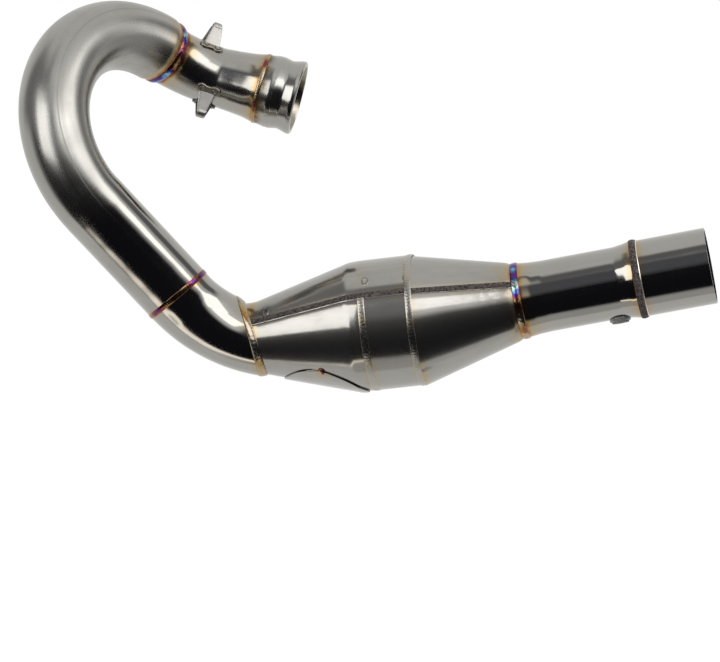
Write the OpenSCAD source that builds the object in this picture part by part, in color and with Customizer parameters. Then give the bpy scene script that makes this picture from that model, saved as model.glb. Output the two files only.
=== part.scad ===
// Motorcycle exhaust header: port collar, hooked inlet tube, looped head pipe,
// two-piece stamped chamber and slip-on outlet sleeve, welded into one assembly.
// Millimetres. The origin is the centre of the port collar's open face, +X runs
// towards the outlet, +Y away from the side that is seen, +Z up.

/* [Route] */
// Rise of the port end, degrees up towards the bend
port_rise = 15; // [5:0.5:25]
// Lean of the port end towards the seen side, degrees
port_lean = 3; // [0:0.5:8]
// Straight length from the collar face to the inlet bend
inlet_run = 53.5; // [46:0.5:64]
// Centreline radius of the inlet bend
inlet_bend_r = 62; // [50:1:90]
// Rise of the short neck before the big loop, degrees
neck_rise = 30; // [20:0.5:40]
// Lean of that neck towards the seen side, degrees
neck_lean = 32.5; // [22:0.5:40]
// Straight length between the inlet bend and the big loop
neck_run = 11.5; // [10:0.5:24]
// Centreline radius of the big loop
loop_bend_r = 71; // [60:1:90]
// Drop of the long straight run, degrees below level
lower_drop = 47.5; // [40:0.5:55]
// Lean of that run away from the seen side, degrees
lower_lean = 20; // [10:0.5:28]
// Length of the long straight run
lower_run = 89.5; // [70:1:120]
// Centreline radius of the elbow under the chamber inlet
elbow_bend_r = 78; // [60:1:90]
// Drop of the elbow where it meets the chamber, degrees below level
elbow_drop = 14.5; // [8:0.5:22]
// Lean of the elbow's end towards the seen side, degrees
elbow_lean = 5.5; // [0:0.5:10]
// Length of elbow between its start and the chamber, in degrees of bend
elbow_turn = 42; // [36:0.5:48]

/* [Tubes] */
// Outer diameter of the inlet tube
inlet_tube_d = 41.3; // [36:0.1:44]
// Outer diameter of the loop, the elbow and the outlet tube
main_tube_d = 47.6; // [46:0.1:52]
// Outer diameter of the outlet sleeve
sleeve_d = 50.8; // [49:0.1:56]
// Wall of every drawn tube and stamped shell
wall = 1.2; // [0.9:0.1:2]
// How much slimmer a tube's radius comes out of the bender
bend_thinning = 0.3; // [0.05:0.05:0.4]
// How much the loop's radius is drawn in where it meets the bend weld
neck_swage = 1.6; // [0.2:0.1:2.4]
// Length of the outlet tube, chamber weld to sleeve weld
outlet_len = 80; // [60:1:110]
// Length of the outlet sleeve, from the middle of its weld
sleeve_len = 48; // [35:1:70]
// Length of the flare at the sleeve end of the outlet tube
outlet_flare_len = 11; // [6:0.5:18]
// How much the outlet tube's radius grows in that flare
outlet_flare = 2; // [0.5:0.1:3]
// Length of the taper where the outlet tube leaves the chamber
outlet_taper_len = 15; // [8:0.5:20]
// How much that taper adds to the tube's radius
outlet_taper = 1.2; // [0.5:0.1:2]

/* [Port collar] */
// Length of the machined collar, face to weld
collar_len = 26.5; // [22:0.5:32]
// Bore of the collar
collar_bore_d = 44.8; // [40:0.1:46]
// Diameter of the collar's lip
lip_d = 51.2; // [50:0.1:54]
// Width of the lip before it falls to the neck
lip_w = 3; // [2:0.1:5]
// Chamfer on the lip's outer corner
lip_chamfer = 0.8; // [0.3:0.1:1.5]
// Diameter of the collar's neck behind the lip
collar_neck_d = 48; // [47.5:0.1:49]
// Diameter of the hump behind the neck
hump_d = 50.2; // [49.5:0.1:52]
// Diameter of the collar and tube at their weld
collar_root_d = 48; // [47.4:0.1:49]

/* [Chamber] */
// Outer diameter of the chamber's middle
chamber_d = 87.6; // [76:0.5:100]
// Outer diameter of the chamber's inlet neck
chamber_neck_d = 48.4; // [47.8:0.1:50]
// Rise of the front of the chamber, degrees
chamber_rise = 6.5; // [0:0.5:12]
// Lean of the front of the chamber towards the seen side, degrees
chamber_lean = 7.5; // [3:0.5:12]
// Rise of the rear cone and outlet, degrees
outlet_rise = 10.5; // [6:0.5:14]
// Lean of the rear cone and outlet, degrees
outlet_lean = 8; // [4:0.5:12]
// Straight neck before the front cone opens
neck_len = 5; // [2:0.5:8]
// Length of the front cone
front_cone_len = 61; // [50:1:75]
// Length of the rounded shoulder between the front cone and the band
shoulder_len = 12; // [6:0.5:12]
// How far that shoulder lies inside the band where the cone ends
shoulder_drop = 2; // [1:0.1:3]
// Distance from the chamber inlet to the half-round band weld
half_weld_at = 81; // [78:0.5:92]
// Length of band between the two band welds
band_len = 31.5; // [24:0.5:42]
// Length of the rear cone, band weld to outlet weld
rear_cone_len = 70.5; // [60:0.5:84]
// Turn of the long seams above the seen side, degrees
seam_turn = 27; // [15:1:40]

/* [Welds] */
// Width of the collar weld
collar_weld_w = 3; // [2:0.1:4]
// Width of the weld between the inlet tube and the loop
bend_weld_w = 6; // [4:0.1:8]
// Distance of that weld past the inlet bend
bend_weld_at = 4.6; // [3:0.1:8]
// Width of the weld between the loop and the elbow
lower_weld_w = 4; // [3:0.1:6]
// Distance of that weld before the elbow's bend
lower_weld_back = 3; // [1:0.5:8]
// Drop of its slanted cut, degrees below level
lower_cut_drop = 50; // [44:0.5:56]
// Lean of that cut away from the seen side, degrees
lower_cut_lean = 4; // [0:0.5:10]
// Width of the weld at the chamber inlet
inlet_weld_w = 5; // [3:0.1:6]
// Rise of its slanted cut, degrees
inlet_cut_rise = 17.5; // [10:0.5:24]
// Lean of that cut away from the seen side, degrees
inlet_cut_lean = 1; // [0:0.5:6]
// Width of the round welds on the chamber
band_weld_w = 4.5; // [3:0.1:6]
// Width of the weld at the chamber outlet
outlet_weld_w = 5; // [3:0.1:6]
// Width of the weld at the sleeve
sleeve_weld_w = 5.4; // [3:0.1:7]
// Width of the long seam welds
seam_w = 3.8; // [2.5:0.1:5]
// How far the beads stand above the metal beside them
bead_rise = 0.9; // [0.3:0.1:1.5]
// How far the flush welds stand above the metal beside them
flush_rise = 0.35; // [0.1:0.05:0.8]

/* [Spring hooks] */
// Distance of the upper hook past the start of the inlet bend, in degrees of bend
upper_hook_at = 16; // [8:0.5:22]
// Distance of the lower hook past the start of the inlet bend, in degrees of bend
lower_hook_at = 7.5; // [6:0.5:22]
// Turn of the upper hook above the seen side, degrees
upper_hook_turn = 86; // [70:1:100]
// Turn of the lower hook below the seen side, degrees
lower_hook_turn = 61; // [50:1:80]
// Thickness of the hook strip
hook_t = 1.5; // [1:0.1:2]
// Height of a hook above the tube
hook_h = 14.6; // [9:0.5:18]
// Radius of the round top of the arch
hook_top_r = 3.6; // [2.5:0.1:5]
// Turn of a hook's feet either side of its middle, degrees
hook_foot_turn = 27; // [22:1:40]
// Distance between the two spot welds of a foot
spot_pitch = 9; // [7:0.1:11]
// Radius of the round lobes of a foot
lobe_r = 3.9; // [3:0.1:5]
// Half the height of the waist between the lobes
waist_half = 3; // [2:0.1:3.8]
// Width of the hook's tongue at the tip
tongue_tip_w = 5.6; // [4:0.1:8]
// Diameter of a spot weld
spot_d = 4; // [2.5:0.1:5]
// Height of a spot weld
spot_h = 0.4; // [0.2:0.05:0.8]

/* [Badge plate] */
// Length of the lens-shaped plate between its tips
badge_len = 57; // [40:1:62]
// Width of the plate
badge_w = 40; // [24:1:44]
// Thickness of the plate
badge_t = 1; // [0.6:0.1:1.6]
// Gap between the plate and the cone
badge_gap = 0.3; // [0.2:0.05:0.8]
// Distance of the plate's middle from the chamber inlet
badge_at = 48; // [42:0.5:52]
// Turn of the plate's middle below the seen side, degrees
badge_turn = 80; // [70:1:95]
// Diameter of the tack weld on the plate's seen edge
tack_d = 4.6; // [3:0.1:6]
// Height of the tack weld above the cone
tack_h = 2; // [1.4:0.1:2.6]

/* [Test port] */
// Distance of the port back from the sleeve weld
port_back = 17; // [14:1:30]
// Turn of the port below the seen side, degrees
port_turn = 86; // [70:1:95]
// Outer diameter of the port's boss
boss_d = 14; // [12:0.1:18]
// Height of the boss above the tube
boss_h = 1.8; // [1.5:0.1:5]
// Diameter of the plug's shank
plug_d = 8; // [6:0.1:9]
// Diameter of the plug's head
plug_head_d = 11.4; // [10:0.1:13.6]
// Thickness of the plug's head
plug_head_t = 1.1; // [0.6:0.1:2]
// Clearance round the plug's shank
plug_gap = 0.1; // [0.05:0.05:0.3]

/* [Hidden] */
$fn = 72;
seen = [0, -1, 0];
over = 1;
// straights run this far into the slimmer bends, so that the two fuse
lap = 0.5;
function unit(v) = v / norm(v);
// a heading from its turn in the side view and its lean towards the seen side
function heading(turn, lean) =
    [cos(lean) * cos(turn), -sin(lean), cos(lean) * sin(turn)];
// the sideways direction in which heading a turns to reach heading b
function side(a, b) = unit(b - (a * b) * a);
function turn_between(a, b) = acos(a * b);
// point and heading at an angle along a bend
function bend_point(p, a, b, r, t) =
    p + r * (sin(t) * a + (1 - cos(t)) * side(a, b));
function bend_heading(a, b, t) = cos(t) * a + sin(t) * side(a, b);
// rigid placing: local z along d, local x along the part of v square to d
function placed(p, d, v) =
    let (x = unit(v - (v * d) * d), y = cross(d, x))
    [[x[0], y[0], d[0], p[0]],
     [x[1], y[1], d[1], p[1]],
     [x[2], y[2], d[2], p[2]],
     [0, 0, 0, 1]];

// headings of the straights
d_port = heading(180 - port_rise, -port_lean);
d_neck = heading(180 - neck_rise, neck_lean);
d_lower = heading(-lower_drop, -lower_lean);
d_elbow = heading(-elbow_drop, elbow_lean);
d_front = heading(chamber_rise, chamber_lean);
d_rear = heading(outlet_rise, outlet_lean);
// stations of the route
p_inlet = inlet_run * d_port;
p_neck = bend_point(p_inlet, d_port, d_neck, inlet_bend_r, turn_between(d_port, d_neck));
p_loop = p_neck + neck_run * d_neck;
p_lower = bend_point(p_loop, d_neck, d_lower, loop_bend_r, turn_between(d_neck, d_lower));
p_elbow = p_lower + lower_run * d_lower;
p_chamber = bend_point(p_elbow, d_lower, d_elbow, elbow_bend_r, elbow_turn);
band_weld_at = half_weld_at + band_len;
p_band = p_chamber + band_weld_at * d_front;
rear_end = rear_cone_len + outlet_len + sleeve_len;
port_at = outlet_len - port_back;

// tube radii
inlet_r = inlet_tube_d / 2;
main_r = main_tube_d / 2;
sleeve_r = sleeve_d / 2;
chamber_r = chamber_d / 2;
chamber_neck_r = chamber_neck_d / 2;
root_r = collar_root_d / 2;
bore_r = collar_bore_d / 2;
outlet_start_r = main_r + outlet_taper;
outlet_end_r = main_r + outlet_flare;

// weld planes that are cut aslant, as in the side view
lower_cut = heading(-lower_cut_drop, -lower_cut_lean);
inlet_cut = heading(inlet_cut_rise, -inlet_cut_lean);
p_bend_weld = p_neck + bend_weld_at * d_neck;
p_lower_weld = p_elbow - lower_weld_back * d_lower;
slant_spare = 16;
elbow_spare = 22;

steel = [0.72, 0.71, 0.69];
brushed = [0.62, 0.61, 0.6];
bead = [0.45, 0.36, 0.3];
dark = [0.25, 0.24, 0.24];

// Route pieces: rods of radius r along a straight and along a bend. A straight
// takes the laps with which it runs into the bends before and after it.
module rod(p, d, len, r, before = 0, after = 0) {
    multmatrix(placed(p - before * d, d, [0, 0, 1]))
        cylinder(h = before + len + after, r = r);
}

module bent_rod(p, a, b, bend_r, turn, r) {
    u = side(a, b);
    n = cross(a, u);
    c = p + bend_r * u;
    multmatrix([[-u[0], a[0], n[0], c[0]],
                [-u[1], a[1], n[1], c[1]],
                [-u[2], a[2], n[2], c[2]],
                [0, 0, 0, 1]])
        rotate_extrude(angle = turn) translate([bend_r, 0]) circle(r = r - bend_thinning);
}

// Everything past a plane through p, square to d.
module past(p, d, size) {
    multmatrix(placed(p, d, [0, 0, 1]))
        translate([-size / 2, -size / 2, 0]) cube(size);
}

// A slice between two planes square to d, w wide and centred on p.
module slice(p, d, w, size) {
    multmatrix(placed(p - w / 2 * d, d, [0, 0, 1]))
        translate([-size / 2, -size / 2, 0]) cube([size, size, w]);
}

// A turned wall from two lists of [radius, distance] points.
module turned(outer, inner) {
    back = [for (i = [len(inner) - 1:-1:0]) inner[i]];
    rotate_extrude() polygon(concat(outer, back));
}

// Outline of a round bead: r_in is the bore, r_a and r_b the metal beside it.
function bead_outline(r_in, r_a, r_b, z, w, rise) =
    [[r_in, z - w / 2], [r_a, z - w / 2],
     [r_a + 0.7 * rise, z - 0.36 * w],
     [max(r_a, r_b) + rise, z - 0.12 * w], [max(r_a, r_b) + rise, z + 0.12 * w],
     [r_b + 0.7 * rise, z + 0.36 * w],
     [r_b, z + w / 2], [r_in, z + w / 2]];

module bead_ring(r_in, r_a, r_b, z, w, rise) {
    rotate_extrude() polygon(bead_outline(r_in, r_a, r_b, z, w, rise));
}

// Placings that the turned pieces share.
module at_port() {
    multmatrix(placed([0, 0, 0], d_port, seen)) children();
}

module at_front() {
    multmatrix(placed(p_chamber, d_front, seen)) children();
}

module at_rear() {
    multmatrix(placed(p_band, d_rear, seen)) children();
}

// Port end: machined collar and its weld.
module port_collar() {
    root = collar_len - collar_weld_w / 2;
    outer = [[lip_d / 2 - lip_chamfer, 0], [lip_d / 2, lip_chamfer], [lip_d / 2, lip_w],
        [(lip_d / 2 + collar_neck_d / 2) / 2, lip_w + 0.11 * root],
        [collar_neck_d / 2, lip_w + 0.24 * root],
        [collar_neck_d / 2, lip_w + 0.3 * root],
        [(hump_d + collar_neck_d) / 4, lip_w + 0.4 * root],
        [hump_d / 2, lip_w + 0.5 * root], [hump_d / 2, lip_w + 0.64 * root],
        [(hump_d + collar_root_d) / 4, lip_w + 0.75 * root],
        [root_r, root]];
    color(steel) at_port() turned(outer, [[bore_r, 0], [bore_r, root]]);
}

module collar_weld() {
    color(bead) at_port()
        bead_ring(root_r - wall, root_r, root_r, collar_len, collar_weld_w, flush_rise);
}

// Inlet tube: a flare at the collar, the inlet bend and the neck. The flare's
// outline has its radius and its distance from the collar's face.
flare_start = collar_len + collar_weld_w / 2;
flare_run = inlet_run - flare_start;
flare_grow = root_r - inlet_r;
inlet_flare = [[root_r, flare_start],
    [inlet_r + 0.65 * flare_grow, flare_start + 0.18 * flare_run],
    [inlet_r + 0.46 * flare_grow, flare_start + 0.34 * flare_run],
    [inlet_r + 0.18 * flare_grow, flare_start + 0.68 * flare_run],
    [inlet_r, inlet_run], [inlet_r, inlet_run + lap]];

module inlet_tube() {
    turn = turn_between(d_port, d_neck);
    straight = bend_weld_at - bend_weld_w / 2;
    color(brushed) {
        at_port() turned(inlet_flare, thinned(inlet_flare, wall));
        difference() {
            bent_rod(p_inlet, d_port, d_neck, inlet_bend_r, turn, inlet_r);
            bent_rod(p_inlet, d_port, d_neck, inlet_bend_r, turn, inlet_r - wall);
        }
        difference() {
            rod(p_neck, d_neck, straight, inlet_r, lap);
            rod(p_neck, d_neck, straight, inlet_r - wall, lap);
        }
    }
}

// Spring hooks: a strip folded into an arch, with a dog-bone foot each side.
// Local z points out of the tube, local x along it.
module hook_frame(at, turn) {
    multmatrix(placed(bend_point(p_inlet, d_port, d_neck, inlet_bend_r, at),
        bend_heading(d_port, d_neck, at), seen))
        rotate([0, 0, turn]) rotate([0, 90, 0]) children();
}

// The inlet tube as a rod that stands grow above the tube's outside.
module inlet_rod(grow) {
    turn = turn_between(d_port, d_neck);
    bent_rod(p_inlet, d_port, d_neck, inlet_bend_r, turn, inlet_r + grow);
    at_port() rotate_extrude()
        polygon(concat([[0, flare_start]], thinned(inlet_flare, -grow),
            [[0, inlet_run + lap]]));
}

function arch_outline(half, top, r, foot) =
    concat([[-half, foot]],
        [for (i = [0:8]) [-r * cos(22.5 * i), top - r + r * sin(22.5 * i)]],
        [[half, foot]]);

module hook_arch() {
    top = inlet_r + hook_h;
    half = (inlet_r + hook_t) * sin(hook_foot_turn) - 0.4 * lobe_r;
    foot = (inlet_r + hook_t) * cos(hook_foot_turn);
    reach = hook_t / sin(atan2(top - foot, half - hook_top_r));
    tip = tongue_tip_w / 2;
    base = spot_pitch / 2 + 0.35 * lobe_r;
    span = 2 * top;
    intersection() {
        rotate([90, 0, 90])
            linear_extrude(height = span, center = true) difference() {
                polygon(arch_outline(half, top, hook_top_r, foot));
                polygon(arch_outline(half - reach, top - hook_t,
                    hook_top_r - hook_t * 0.8, foot - over));
            }
        rotate([90, 0, 0])
            linear_extrude(height = span, center = true)
                polygon([[-base, 0], [-base, foot], [-tip - 0.8, top - 4], [-tip, top - 1.4],
                    [-tip + 1.4, top + over], [tip - 1.4, top + over], [tip, top - 1.4],
                    [tip + 0.8, top - 4], [base, foot], [base, 0]]);
    }
}

module foot_outline(grow) {
    for (s = [-1, 1]) translate([s * spot_pitch / 2, 0]) circle(r = lobe_r + grow);
    square([spot_pitch, 2 * (waist_half + grow)], center = true);
}

module hook_feet() {
    for (s = [-1, 1])
        rotate([s * hook_foot_turn, 0, 0])
            linear_extrude(height = inlet_r + 3 * hook_t) foot_outline(0);
}

module spring_hook(at, turn) {
    color(steel) {
        difference() {
            hook_frame(at, turn) hook_arch();
            inlet_rod(0);
        }
        difference() {
            intersection() {
                hook_frame(at, turn) hook_feet();
                inlet_rod(hook_t);
            }
            inlet_rod(0);
        }
    }
}

module spot_welds(at, turn) {
    color(dark) difference() {
        intersection() {
            hook_frame(at, turn)
                for (s = [-1, 1])
                    rotate([s * hook_foot_turn, 0, 0])
                        for (k = [-1, 1])
                            translate([k * spot_pitch / 2, s * 0.25 * lobe_r, 0])
                                cylinder(h = inlet_r + 3 * hook_t, d = spot_d);
            inlet_rod(hook_t + spot_h);
        }
        inlet_rod(hook_t);
        hook_frame(at, turn) hook_arch();
    }
}

module spring_hook_upper() {
    spring_hook(upper_hook_at, upper_hook_turn);
}

module spring_hook_lower() {
    spring_hook(lower_hook_at, -lower_hook_turn);
}

module spot_welds_upper() {
    spot_welds(upper_hook_at, upper_hook_turn);
}

module spot_welds_lower() {
    spot_welds(lower_hook_at, -lower_hook_turn);
}

// Fused bead where the neck steps up to the loop's diameter.
module bend_weld() {
    w = bend_weld_w / 2;
    end_r = main_r - neck_swage;
    step = end_r - inlet_r;
    color(bead) multmatrix(placed(p_bend_weld, d_neck, seen))
        rotate_extrude() polygon([[inlet_r - wall, -w], [inlet_r, -w],
            [inlet_r + 0.3 * step, -0.72 * w], [inlet_r + 0.8 * step, -0.2 * w],
            [end_r + bead_rise, 0.25 * w], [end_r + 0.8 * bead_rise, 0.7 * w],
            [end_r, w], [end_r - wall, w], [inlet_r - wall, -0.2 * w]]);
}

// Lower half of the route: the loop from its drawn-in end, the straight and the
// elbow, as one rod that is cut.
module loop_rod(r) {
    multmatrix(placed(p_bend_weld + bend_weld_w / 2 * d_neck, d_neck, seen))
        cylinder(h = neck_run - bend_weld_at - bend_weld_w / 2 + lap,
            r1 = r - neck_swage, r2 = r);
    bent_rod(p_loop, d_neck, d_lower, loop_bend_r, turn_between(d_neck, d_lower), r);
    rod(p_lower, d_lower, lower_run, r, lap, lap);
    bent_rod(p_elbow, d_lower, d_elbow, elbow_bend_r, slant_spare, r);
}

module elbow_rod(r) {
    rod(p_elbow - slant_spare * d_lower, d_lower, slant_spare, r, 0, lap);
    bent_rod(p_elbow, d_lower, d_elbow, elbow_bend_r, elbow_turn + elbow_spare, r);
}

module main_bend() {
    color(brushed) difference() {
        loop_rod(main_r);
        loop_rod(main_r - wall);
        past(p_lower_weld - lower_weld_w / 2 * lower_cut, lower_cut, 3 * main_r);
    }
}

module lower_weld() {
    color(bead) intersection() {
        difference() {
            elbow_rod(main_r + flush_rise);
            elbow_rod(main_r - wall);
        }
        slice(p_lower_weld, lower_cut, lower_weld_w, 3 * main_r);
    }
}

module elbow() {
    color(steel) difference() {
        elbow_rod(main_r);
        elbow_rod(main_r - wall);
        past(p_lower_weld + lower_weld_w / 2 * lower_cut, -lower_cut, 3 * main_r);
        past(p_chamber - inlet_weld_w / 2 * inlet_cut, inlet_cut, 4 * main_r);
    }
}

module chamber_inlet_weld() {
    color(bead) intersection() {
        difference() {
            elbow_rod(main_r + bead_rise + bend_thinning);
            elbow_rod(main_r - wall);
        }
        slice(p_chamber, inlet_cut, inlet_weld_w, 4 * main_r);
    }
}

// Chamber walls, as [radius, distance] points along each axis.
cone_end = neck_len + front_cone_len;
shoulder_r = chamber_r - shoulder_drop;
front_wall = [[chamber_neck_r, -slant_spare], [chamber_neck_r, neck_len - 1.5],
    [chamber_neck_r + 0.45, neck_len + 1.5], [shoulder_r, cone_end],
    [chamber_r - 0.55, cone_end + 0.4 * shoulder_len],
    [chamber_r, cone_end + shoulder_len], [chamber_r, band_weld_at]];
rear_slope = (chamber_r - outlet_start_r) / rear_cone_len;
rear_back = 8;
rear_wall = [[chamber_r + rear_back * rear_slope, -rear_back],
    [outlet_start_r + 4.5 * rear_slope + 0.3, rear_cone_len - 4.5],
    [outlet_start_r, rear_cone_len - outlet_weld_w / 2]];

function thinned(points, t) = [for (p = points) [p[0] - t, p[1]]];

// The half of everything above (-1) or below (1) the seams, seam_w apart.
module seam_half(s, len) {
    rotate([0, 0, -seam_turn])
        translate([-chamber_d, s > 0 ? seam_w / 2 : -seam_w / 2 - chamber_d, -len])
            cube([2 * chamber_d, chamber_d, 2 * len]);
}

// The strip that a seam weld fills, on the near (1) or the far (-1) side.
module seam_strip(s, len) {
    rotate([0, 0, -seam_turn])
        translate([s > 0 ? 0 : -chamber_d, -seam_w / 2, -len])
            cube([chamber_d, seam_w, 2 * len]);
}

// Front shells stop at the slanted inlet weld and at the band welds.
module front_cut() {
    past(p_chamber + inlet_weld_w / 2 * inlet_cut, -inlet_cut, 3 * chamber_d);
}

module front_upto(at) {
    translate([-chamber_d, -chamber_d, at]) cube(2 * chamber_d);
}

module front_shell(s, at) {
    difference() {
        at_front() difference() {
            intersection() {
                turned(front_wall, thinned(front_wall, wall));
                seam_half(s, band_weld_at);
            }
            front_upto(at);
        }
        front_cut();
    }
}

module front_shell_upper() {
    color(steel) front_shell(-1, band_weld_at - band_weld_w / 2);
}

module front_shell_lower() {
    color(steel) front_shell(1, half_weld_at - band_weld_w / 2);
}

module band_lower() {
    from = half_weld_at + band_weld_w / 2;
    to = band_weld_at - band_weld_w / 2;
    color(steel) at_front() intersection() {
        turned([[chamber_r, from], [chamber_r, to]],
            [[chamber_r - wall, from], [chamber_r - wall, to]]);
        seam_half(1, band_weld_at);
    }
}

module half_band_weld() {
    color(bead) at_front() intersection() {
        bead_ring(chamber_r - wall, chamber_r, chamber_r, half_weld_at, band_weld_w,
            flush_rise);
        seam_half(1, band_weld_at);
    }
}

module band_weld() {
    color(bead) at_front()
        bead_ring(chamber_r - wall - 0.5, chamber_r, chamber_r, band_weld_at,
            band_weld_w, bead_rise);
}

module rear_cut() {
    past(p_band + band_weld_w / 2 * d_front, -d_front, 3 * chamber_d);
}

module rear_shell(s) {
    difference() {
        at_rear() intersection() {
            turned(rear_wall, thinned(rear_wall, wall));
            seam_half(s, rear_cone_len);
        }
        rear_cut();
    }
}

module rear_shell_upper() {
    color(steel) rear_shell(-1);
}

module rear_shell_lower() {
    color(steel) rear_shell(1);
}

// Long fused seams, standing a little proud of the shells.
module seam_front(s) {
    color(bead) difference() {
        at_front() difference() {
            intersection() {
                turned(thinned(front_wall, -flush_rise), thinned(front_wall, wall));
                seam_strip(s, band_weld_at);
            }
            front_upto(band_weld_at - band_weld_w / 2);
        }
        front_cut();
    }
}

module seam_front_near() {
    seam_front(1);
}

module seam_front_far() {
    seam_front(-1);
}

module seam_rear(s) {
    color(bead) difference() {
        at_rear() intersection() {
            turned(thinned(rear_wall, -flush_rise), thinned(rear_wall, wall));
            seam_strip(s, rear_cone_len);
        }
        rear_cut();
    }
}

module seam_rear_near() {
    seam_rear(1);
}

module seam_rear_far() {
    seam_rear(-1);
}

// Badge plate: a bare lens-shaped plate bent to the underside of the front cone.
module badge_frame() {
    at_front() rotate([0, 0, badge_turn]) translate([0, 0, badge_at])
        rotate([0, 90, 0]) children();
}

module badge_lens(len) {
    half = badge_w / 2;
    arc_r = (badge_len * badge_len / 4 + half * half) / badge_w;
    linear_extrude(height = len) intersection() {
        translate([0, arc_r - half]) circle(r = arc_r);
        translate([0, half - arc_r]) circle(r = arc_r);
    }
}

module cone_skin(t) {
    at_front() rotate_extrude()
        polygon(concat([[0, -slant_spare]], thinned(front_wall, -t), [[0, band_weld_at]]));
}

module badge_plate() {
    color(steel) difference() {
        intersection() {
            badge_frame() badge_lens(chamber_r + 4);
            cone_skin(badge_gap + badge_t);
        }
        cone_skin(badge_gap);
    }
}

module badge_tack() {
    color(bead) difference() {
        intersection() {
            badge_frame() translate([0, -badge_w / 2, 0])
                cylinder(h = chamber_r + 4, d = tack_d);
            cone_skin(tack_h);
        }
        cone_skin(0);
        badge_plate();
    }
}

// Outlet side, turned about the rear axis.
module chamber_outlet_weld() {
    color(bead) at_rear()
        bead_ring(outlet_start_r - wall, outlet_start_r, outlet_start_r, rear_cone_len,
            outlet_weld_w, bead_rise);
}

module outlet_body(t) {
    from = rear_cone_len + outlet_weld_w / 2;
    to = rear_cone_len + outlet_len - sleeve_weld_w / 2;
    outer = [[outlet_start_r, from],
        [main_r + 0.35 * outlet_taper, from + 0.45 * outlet_taper_len],
        [main_r, from + outlet_taper_len], [main_r, to - outlet_flare_len],
        [main_r + 0.45 * outlet_flare, to - 0.4 * outlet_flare_len],
        [outlet_end_r, to]];
    turned(outer, thinned(outer, t));
}

module outlet_tube() {
    color(steel) difference() {
        at_rear() outlet_body(wall);
        port_frame() cylinder(h = main_r + over, d = plug_d + 2 * plug_gap);
    }
}

module port_frame() {
    at_rear() rotate([0, 0, port_turn]) translate([0, 0, rear_cone_len + port_at])
        rotate([0, 90, 0]) children();
}

module test_boss() {
    core = main_r - over;
    color(dark) difference() {
        port_frame() cylinder(h = main_r + boss_h, d = boss_d);
        port_frame() cylinder(h = 2 * main_r, d = plug_d + 2 * plug_gap);
        at_rear() outlet_body(core);
        at_rear() translate([0, 0, rear_cone_len]) cylinder(h = outlet_len, r = main_r * 0.5);
    }
}

module test_plug() {
    color(dark) port_frame() {
        translate([0, 0, main_r - wall]) cylinder(h = wall + boss_h, d = plug_d);
        translate([0, 0, main_r + boss_h]) cylinder(h = plug_head_t, d = plug_head_d);
    }
}

module sleeve_weld() {
    color(bead) at_rear()
        bead_ring(sleeve_r - wall, outlet_end_r, sleeve_r, rear_cone_len + outlet_len,
            sleeve_weld_w, bead_rise);
}

module outlet_sleeve() {
    from = rear_cone_len + outlet_len + sleeve_weld_w / 2;
    color(steel) at_rear()
        turned([[sleeve_r, from], [sleeve_r, rear_end]],
            [[sleeve_r - wall, from], [sleeve_r - wall, rear_end]]);
}

port_collar();
collar_weld();
inlet_tube();
spring_hook_upper();
spring_hook_lower();
spot_welds_upper();
spot_welds_lower();
bend_weld();
main_bend();
lower_weld();
elbow();
chamber_inlet_weld();
front_shell_upper();
front_shell_lower();
band_lower();
half_band_weld();
band_weld();
rear_shell_upper();
rear_shell_lower();
seam_front_near();
seam_front_far();
seam_rear_near();
seam_rear_far();
badge_plate();
badge_tack();
chamber_outlet_weld();
outlet_tube();
test_boss();
test_plug();
sleeve_weld();
outlet_sleeve();
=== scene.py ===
import logging
import math
from dataclasses import dataclass, field
from enum import Enum

import bpy
import numpy as np
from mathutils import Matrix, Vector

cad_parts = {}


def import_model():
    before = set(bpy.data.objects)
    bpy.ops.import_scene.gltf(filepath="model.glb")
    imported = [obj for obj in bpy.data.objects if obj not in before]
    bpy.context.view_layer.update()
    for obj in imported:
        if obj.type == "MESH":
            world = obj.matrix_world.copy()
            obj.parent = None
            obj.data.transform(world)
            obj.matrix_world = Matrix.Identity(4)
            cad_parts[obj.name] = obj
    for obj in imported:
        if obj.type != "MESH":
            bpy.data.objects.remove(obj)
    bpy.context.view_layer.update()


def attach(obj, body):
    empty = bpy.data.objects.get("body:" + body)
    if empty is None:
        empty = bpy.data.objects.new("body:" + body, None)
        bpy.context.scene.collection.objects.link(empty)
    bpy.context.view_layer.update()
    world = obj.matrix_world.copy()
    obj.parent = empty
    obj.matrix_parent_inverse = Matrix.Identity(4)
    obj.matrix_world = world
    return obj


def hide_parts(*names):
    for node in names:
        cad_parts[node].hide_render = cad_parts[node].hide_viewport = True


log = logging.getLogger("exhaust_header")

MM = 0.001
NEAR_SIDE = np.array([0.0, -1.0, 0.0])
TUBE_COLUMNS = 112
BEAD_ROWS = 15

# A mesh without the drawn or the pit attribute reads 0 there, so both are distances shifted
# by these, and 0 lies far from any mark.
SEAM_ZERO = 20.0
PIT_ZERO = 10.0


def unit(vector: np.ndarray) -> np.ndarray:
    """Returns the vector at length one."""
    return vector / np.linalg.norm(vector)


def heading(turn: float, lean: float) -> np.ndarray:
    """Works out a heading from its turn in the side view and its lean towards the near side.

    Args:
        turn: Degrees above +X, seen from the near side.
        lean: Degrees towards the near side.

    Returns:
        A vector of length one.
    """
    t = math.radians(turn)
    l = math.radians(lean)
    return np.array([math.cos(l) * math.cos(t), -math.sin(l), math.cos(l) * math.sin(t)])


def square_to(axis: np.ndarray, vector: np.ndarray) -> np.ndarray:
    """Returns the part of the vector that is square to the axis, at length one."""
    return unit(vector - (vector @ axis) * axis)


def turn_past(angle: np.ndarray, zero: float) -> np.ndarray:
    """How far each angle lies past another one, from half a turn back to half a turn on."""
    return (angle - zero + math.pi) % (2 * math.pi) - math.pi


def angle_between(a: np.ndarray, b: np.ndarray) -> float:
    """Returns the angle between two headings, in radians."""
    return math.acos(float(np.clip(a @ b, -1, 1)))


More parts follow.
